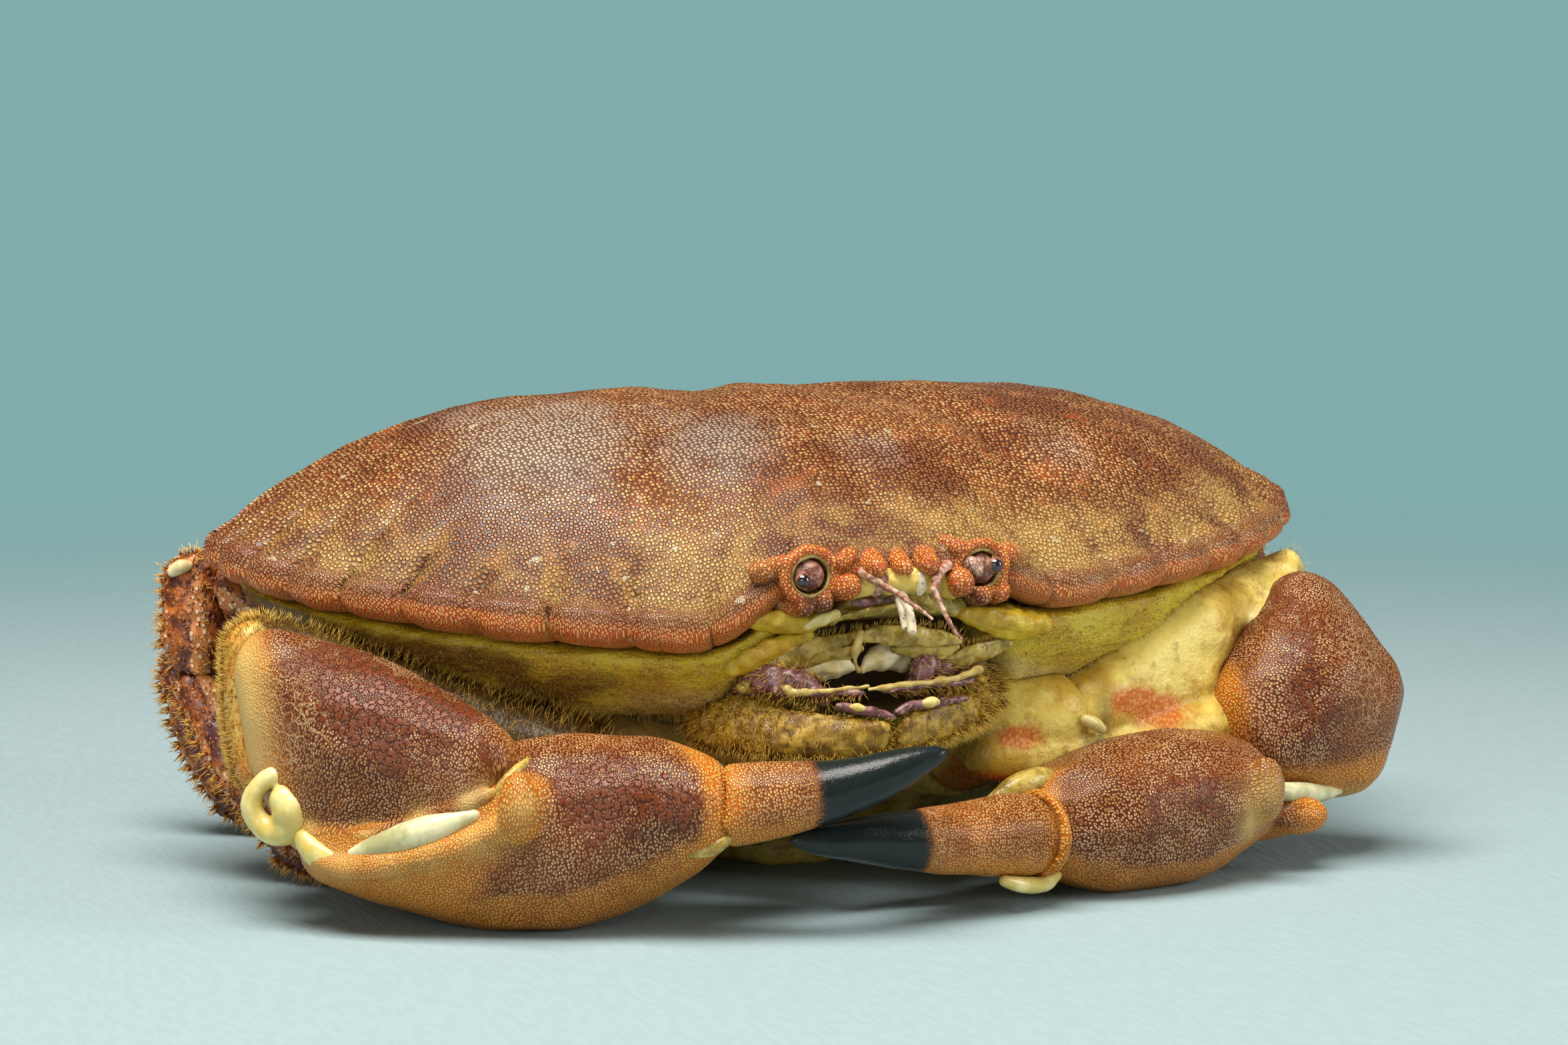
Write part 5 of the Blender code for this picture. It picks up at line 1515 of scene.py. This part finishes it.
def hang(part, name, look, slot, count, mask, length, thick, lean, seed, spread=0.35):
    """Hairs all over one part, leaning one way."""
    place, normal, rng = scatter(part, thinned(count), mask, seed)
    way = normal + spread * rng.normal(size=normal.shape) + np.array(lean)
    bristles(name, look, slot, place - normal * 0.1, way, length, thick, lean, seed)


def all_over(place, normal):
    return np.ones(len(place))


def flap_fringe(place, normal):
    """Edges of the jaw flaps, thickest below."""
    flat = (normal[:, 1] < -0.75) * 0.12
    return flat + (normal[:, 1] > -0.75) * (normal[:, 1] < 0.35) * 1.0 + 2.0 * (normal[:, 2] < -0.5)


def upper_edge(place, normal):
    return np.clip(normal[:, 2], 0, 1) ** 2


class CRAB_OT_face(bpy.types.Operator):
    """Eyes, feelers, jaws, palps and the open jaw flaps"""

    bl_idname = "crab.face"
    bl_label = "Face"

    def execute(self, context):
        hairs = "bristle_finish"
        for name, side in SIDES:
            build_eye(name, side)
            for part, look, slot in FACE_PIECES:
                node = f"{part}_{name}"
                made = refined(node + "_skin", node, 0.22 * MM, 3, 0.05 * MM, bumps=(0.0018, 0.00035))
                set_marks(made)
                piece(made, look, slot, node)
                seed = 30 + side + 2 * len(part)
                if part == "palp":
                    lean = (0.5 * side, -0.4, -0.2)
                    hang(made, node + "_spines", hairs, slot, 900, all_over, 1.7, 0.06, lean, seed)
                else:
                    lean = (0, -0.5, -0.35)
                    hang(made, node + "_fringe", hairs, slot, 3600, flap_fringe, 2.1, 0.06, lean, seed, 0.55)
        for name, path in FEELERS.items():
            build_feeler(name, path)
        for name, _ in SIDES:
            parts = [part for side, path in ANTENNULES if side == name for part in cable(path)]
            stalk = fuse(f"antennule_{name}_stalks", parts, 0.13 * MM, 1)
            set_marks(stalk)
            piece(stalk, "stripe_finish", "lip_purple", "antennule_" + name)
        for name, look, across, thin, path in JAW_PARTS:
            slot = JAW_SLOTS.get(look, "cream")
            ends = balls(path)
            blade = fuse(name, [leaf(path, across, thin), *ends], 0.17 * MM, 2)
            uneven(blade, 0.0016, 0.00035)
            set_marks(blade, 0, 0.2, 0)
            node = name.removesuffix("_tooth")
            piece(blade, look, slot, *([node] if node != name else []))
            if name.startswith("jaw_plate"):
                lean = (0, -0.5, 0.5)
                hang(blade, name + "_hairs", hairs, slot, 160, upper_edge, 1.3, 0.05, lean, len(name))
        return {"FINISHED"}


# The stage

# The photo's camera, in metres; lens and sensor in millimetres
CAMERA_LENS = 100.0
CAMERA_SENSOR = 36.0
CAMERA_TURN = math.radians(-20.0)
CAMERA_RISE = math.radians(6.0)
CAMERA_AWAY = 0.69
CAMERA_AIM = Vector((0.0, 0.0, 0.052))
CAMERA_SIDESTEP = 0.0031
FLOOR_RADIUS = 4.0
LIGHTS = (
    # name, place, size, power, tint
    ("overhead", (-0.2, -0.2, 0.85), (0.7, 0.5), 15.5, (1.0, 0.95, 0.87)),
    ("front_left", (-0.6, -0.85, 0.3), (0.5, 0.4), 2.3, (1.0, 0.94, 0.84)),
    ("right", (0.8, -0.55, 0.35), (0.3, 0.5), 4.4, (1.0, 0.97, 0.92)),
)


def aim(obj, place, target):
    """Puts a light or the camera in its place, facing the target."""
    obj.location = place
    obj.rotation_euler = (Vector(place) - Vector(target)).to_track_quat("Z", "Y").to_euler()


def soft_light(name, place, size, power, tint):
    """A large rectangular light that faces the crab."""
    light = bpy.data.lights.new(name, "AREA")
    light.shape = "RECTANGLE"
    light.size, light.size_y = size
    light.energy = power
    light.color = tint
    obj = bpy.data.objects.new(name, light)
    bpy.context.scene.collection.objects.link(obj)
    aim(obj, place, (0, 0, 0.04))


def build_floor(colours):
    """A pale floor that fades into the backdrop far out, for the camera only."""
    bpy.ops.object.select_all(action="DESELECT")
    bpy.ops.mesh.primitive_circle_add(vertices=96, radius=FLOOR_RADIUS, fill_type="NGON")
    floor = bpy.context.object
    floor.name = "floor"
    p = Paint("floor_finish")
    where = p.node("ShaderNodeVectorMath", {"operation": "LENGTH"}, {0: p.place}, "Value")
    far = where.step(0.16, 0.6)
    seen = p.node("ShaderNodeLightPath", None, None, "Is Camera Ray")
    weave = p.grain(0.0012, 2.0, 0.5, (1, 0.2, 1))
    tint = p.mix(colours.floor, shade(colours.floor, 0.86), weave.step(0.4, 0.6) * 0.3)
    p.finish(tint, 0.85, p.bump(weave, 0.0002))
    glow = p.node("ShaderNodeEmission", None, {"Color": colours.backdrop, "Strength": 1.0})
    both = p.node("ShaderNodeMixShader", None, {0: far * seen, 1: Wire(p, p.shader.outputs[0]), 2: glow})
    p.show(both, "Material Output")
    floor.data.materials.append(p.material)


def build_world(colours):
    """The even backdrop, which lights the crab less than it shows."""
    world = bpy.data.worlds.new("studio")
    p = Nodes(world)
    back = p.tree.nodes["Background"]
    p.feed(back.inputs["Color"], colours.backdrop)
    fill = p.node("ShaderNodeBackground", None, {"Color": (0.3, 0.3, 0.27), "Strength": 0.3})
    seen = p.node("ShaderNodeLightPath", None, None, "Is Camera Ray")
    both = p.node("ShaderNodeMixShader", None, {0: seen, 1: fill, 2: Wire(p, back.outputs[0])})
    p.show(both, "World Output")
    bpy.context.scene.world = world


class CRAB_OT_stage(bpy.types.Operator):
    """Pale floor, soft light and the camera"""

    bl_idname = "crab.stage"
    bl_label = "Stage"

    def execute(self, context):
        scene = context.scene
        colours = scene.crab_colours
        build_floor(colours)
        build_world(colours)
        for light in LIGHTS:
            soft_light(*light)
        lens = bpy.data.cameras.new("camera")
        lens.lens = CAMERA_LENS
        lens.sensor_width = CAMERA_SENSOR
        lens.clip_start = 0.01
        camera = bpy.data.objects.new("camera", lens)
        scene.collection.objects.link(camera)
        level = math.cos(CAMERA_RISE)
        back = Vector((math.sin(CAMERA_TURN) * level, -math.cos(CAMERA_TURN) * level, math.sin(CAMERA_RISE)))
        right = Vector((math.cos(CAMERA_TURN), math.sin(CAMERA_TURN), 0.0))
        target = CAMERA_AIM + right * CAMERA_SIDESTEP
        aim(camera, target + back * CAMERA_AWAY, target)
        scene.camera = camera
        scene.view_settings.view_transform = "Standard"
        return {"FINISHED"}


class CRAB_PT_panel(bpy.types.Panel):
    """Lists the crab's sizes, colours and build steps"""

    bl_idname = "CRAB_PT_panel"
    bl_label = "Brown Crab"
    bl_space_type = "VIEW_3D"
    bl_region_type = "UI"
    bl_category = "Crab"

    def draw(self, context):
        for settings in (context.scene.crab_sizes, context.scene.crab_colours):
            box = self.layout.box()
            for name in settings.__annotations__:
                box.prop(settings, name)
        for step in STEPS:
            self.layout.operator(step.bl_idname)


STEPS = (
    CRAB_OT_stage,
    CRAB_OT_shell,
    CRAB_OT_underside,
    CRAB_OT_claws,
    CRAB_OT_legs,
    CRAB_OT_face,
)
CLASSES = (CrabSizes, CrabColours, *STEPS, CRAB_PT_panel)


def register():
    for cls in CLASSES:
        bpy.utils.register_class(cls)
    bpy.types.Scene.crab_sizes = PointerProperty(type=CrabSizes)
    bpy.types.Scene.crab_colours = PointerProperty(type=CrabColours)


def unregister():
    del bpy.types.Scene.crab_sizes
    del bpy.types.Scene.crab_colours
    for cls in reversed(CLASSES):
        bpy.utils.unregister_class(cls)


def main():
    register()
    mix_paints()
    for step in STEPS:
        group, name = step.bl_idname.split(".")
        getattr(getattr(bpy.ops, group), name)()


if __name__ == "__main__":
    main()
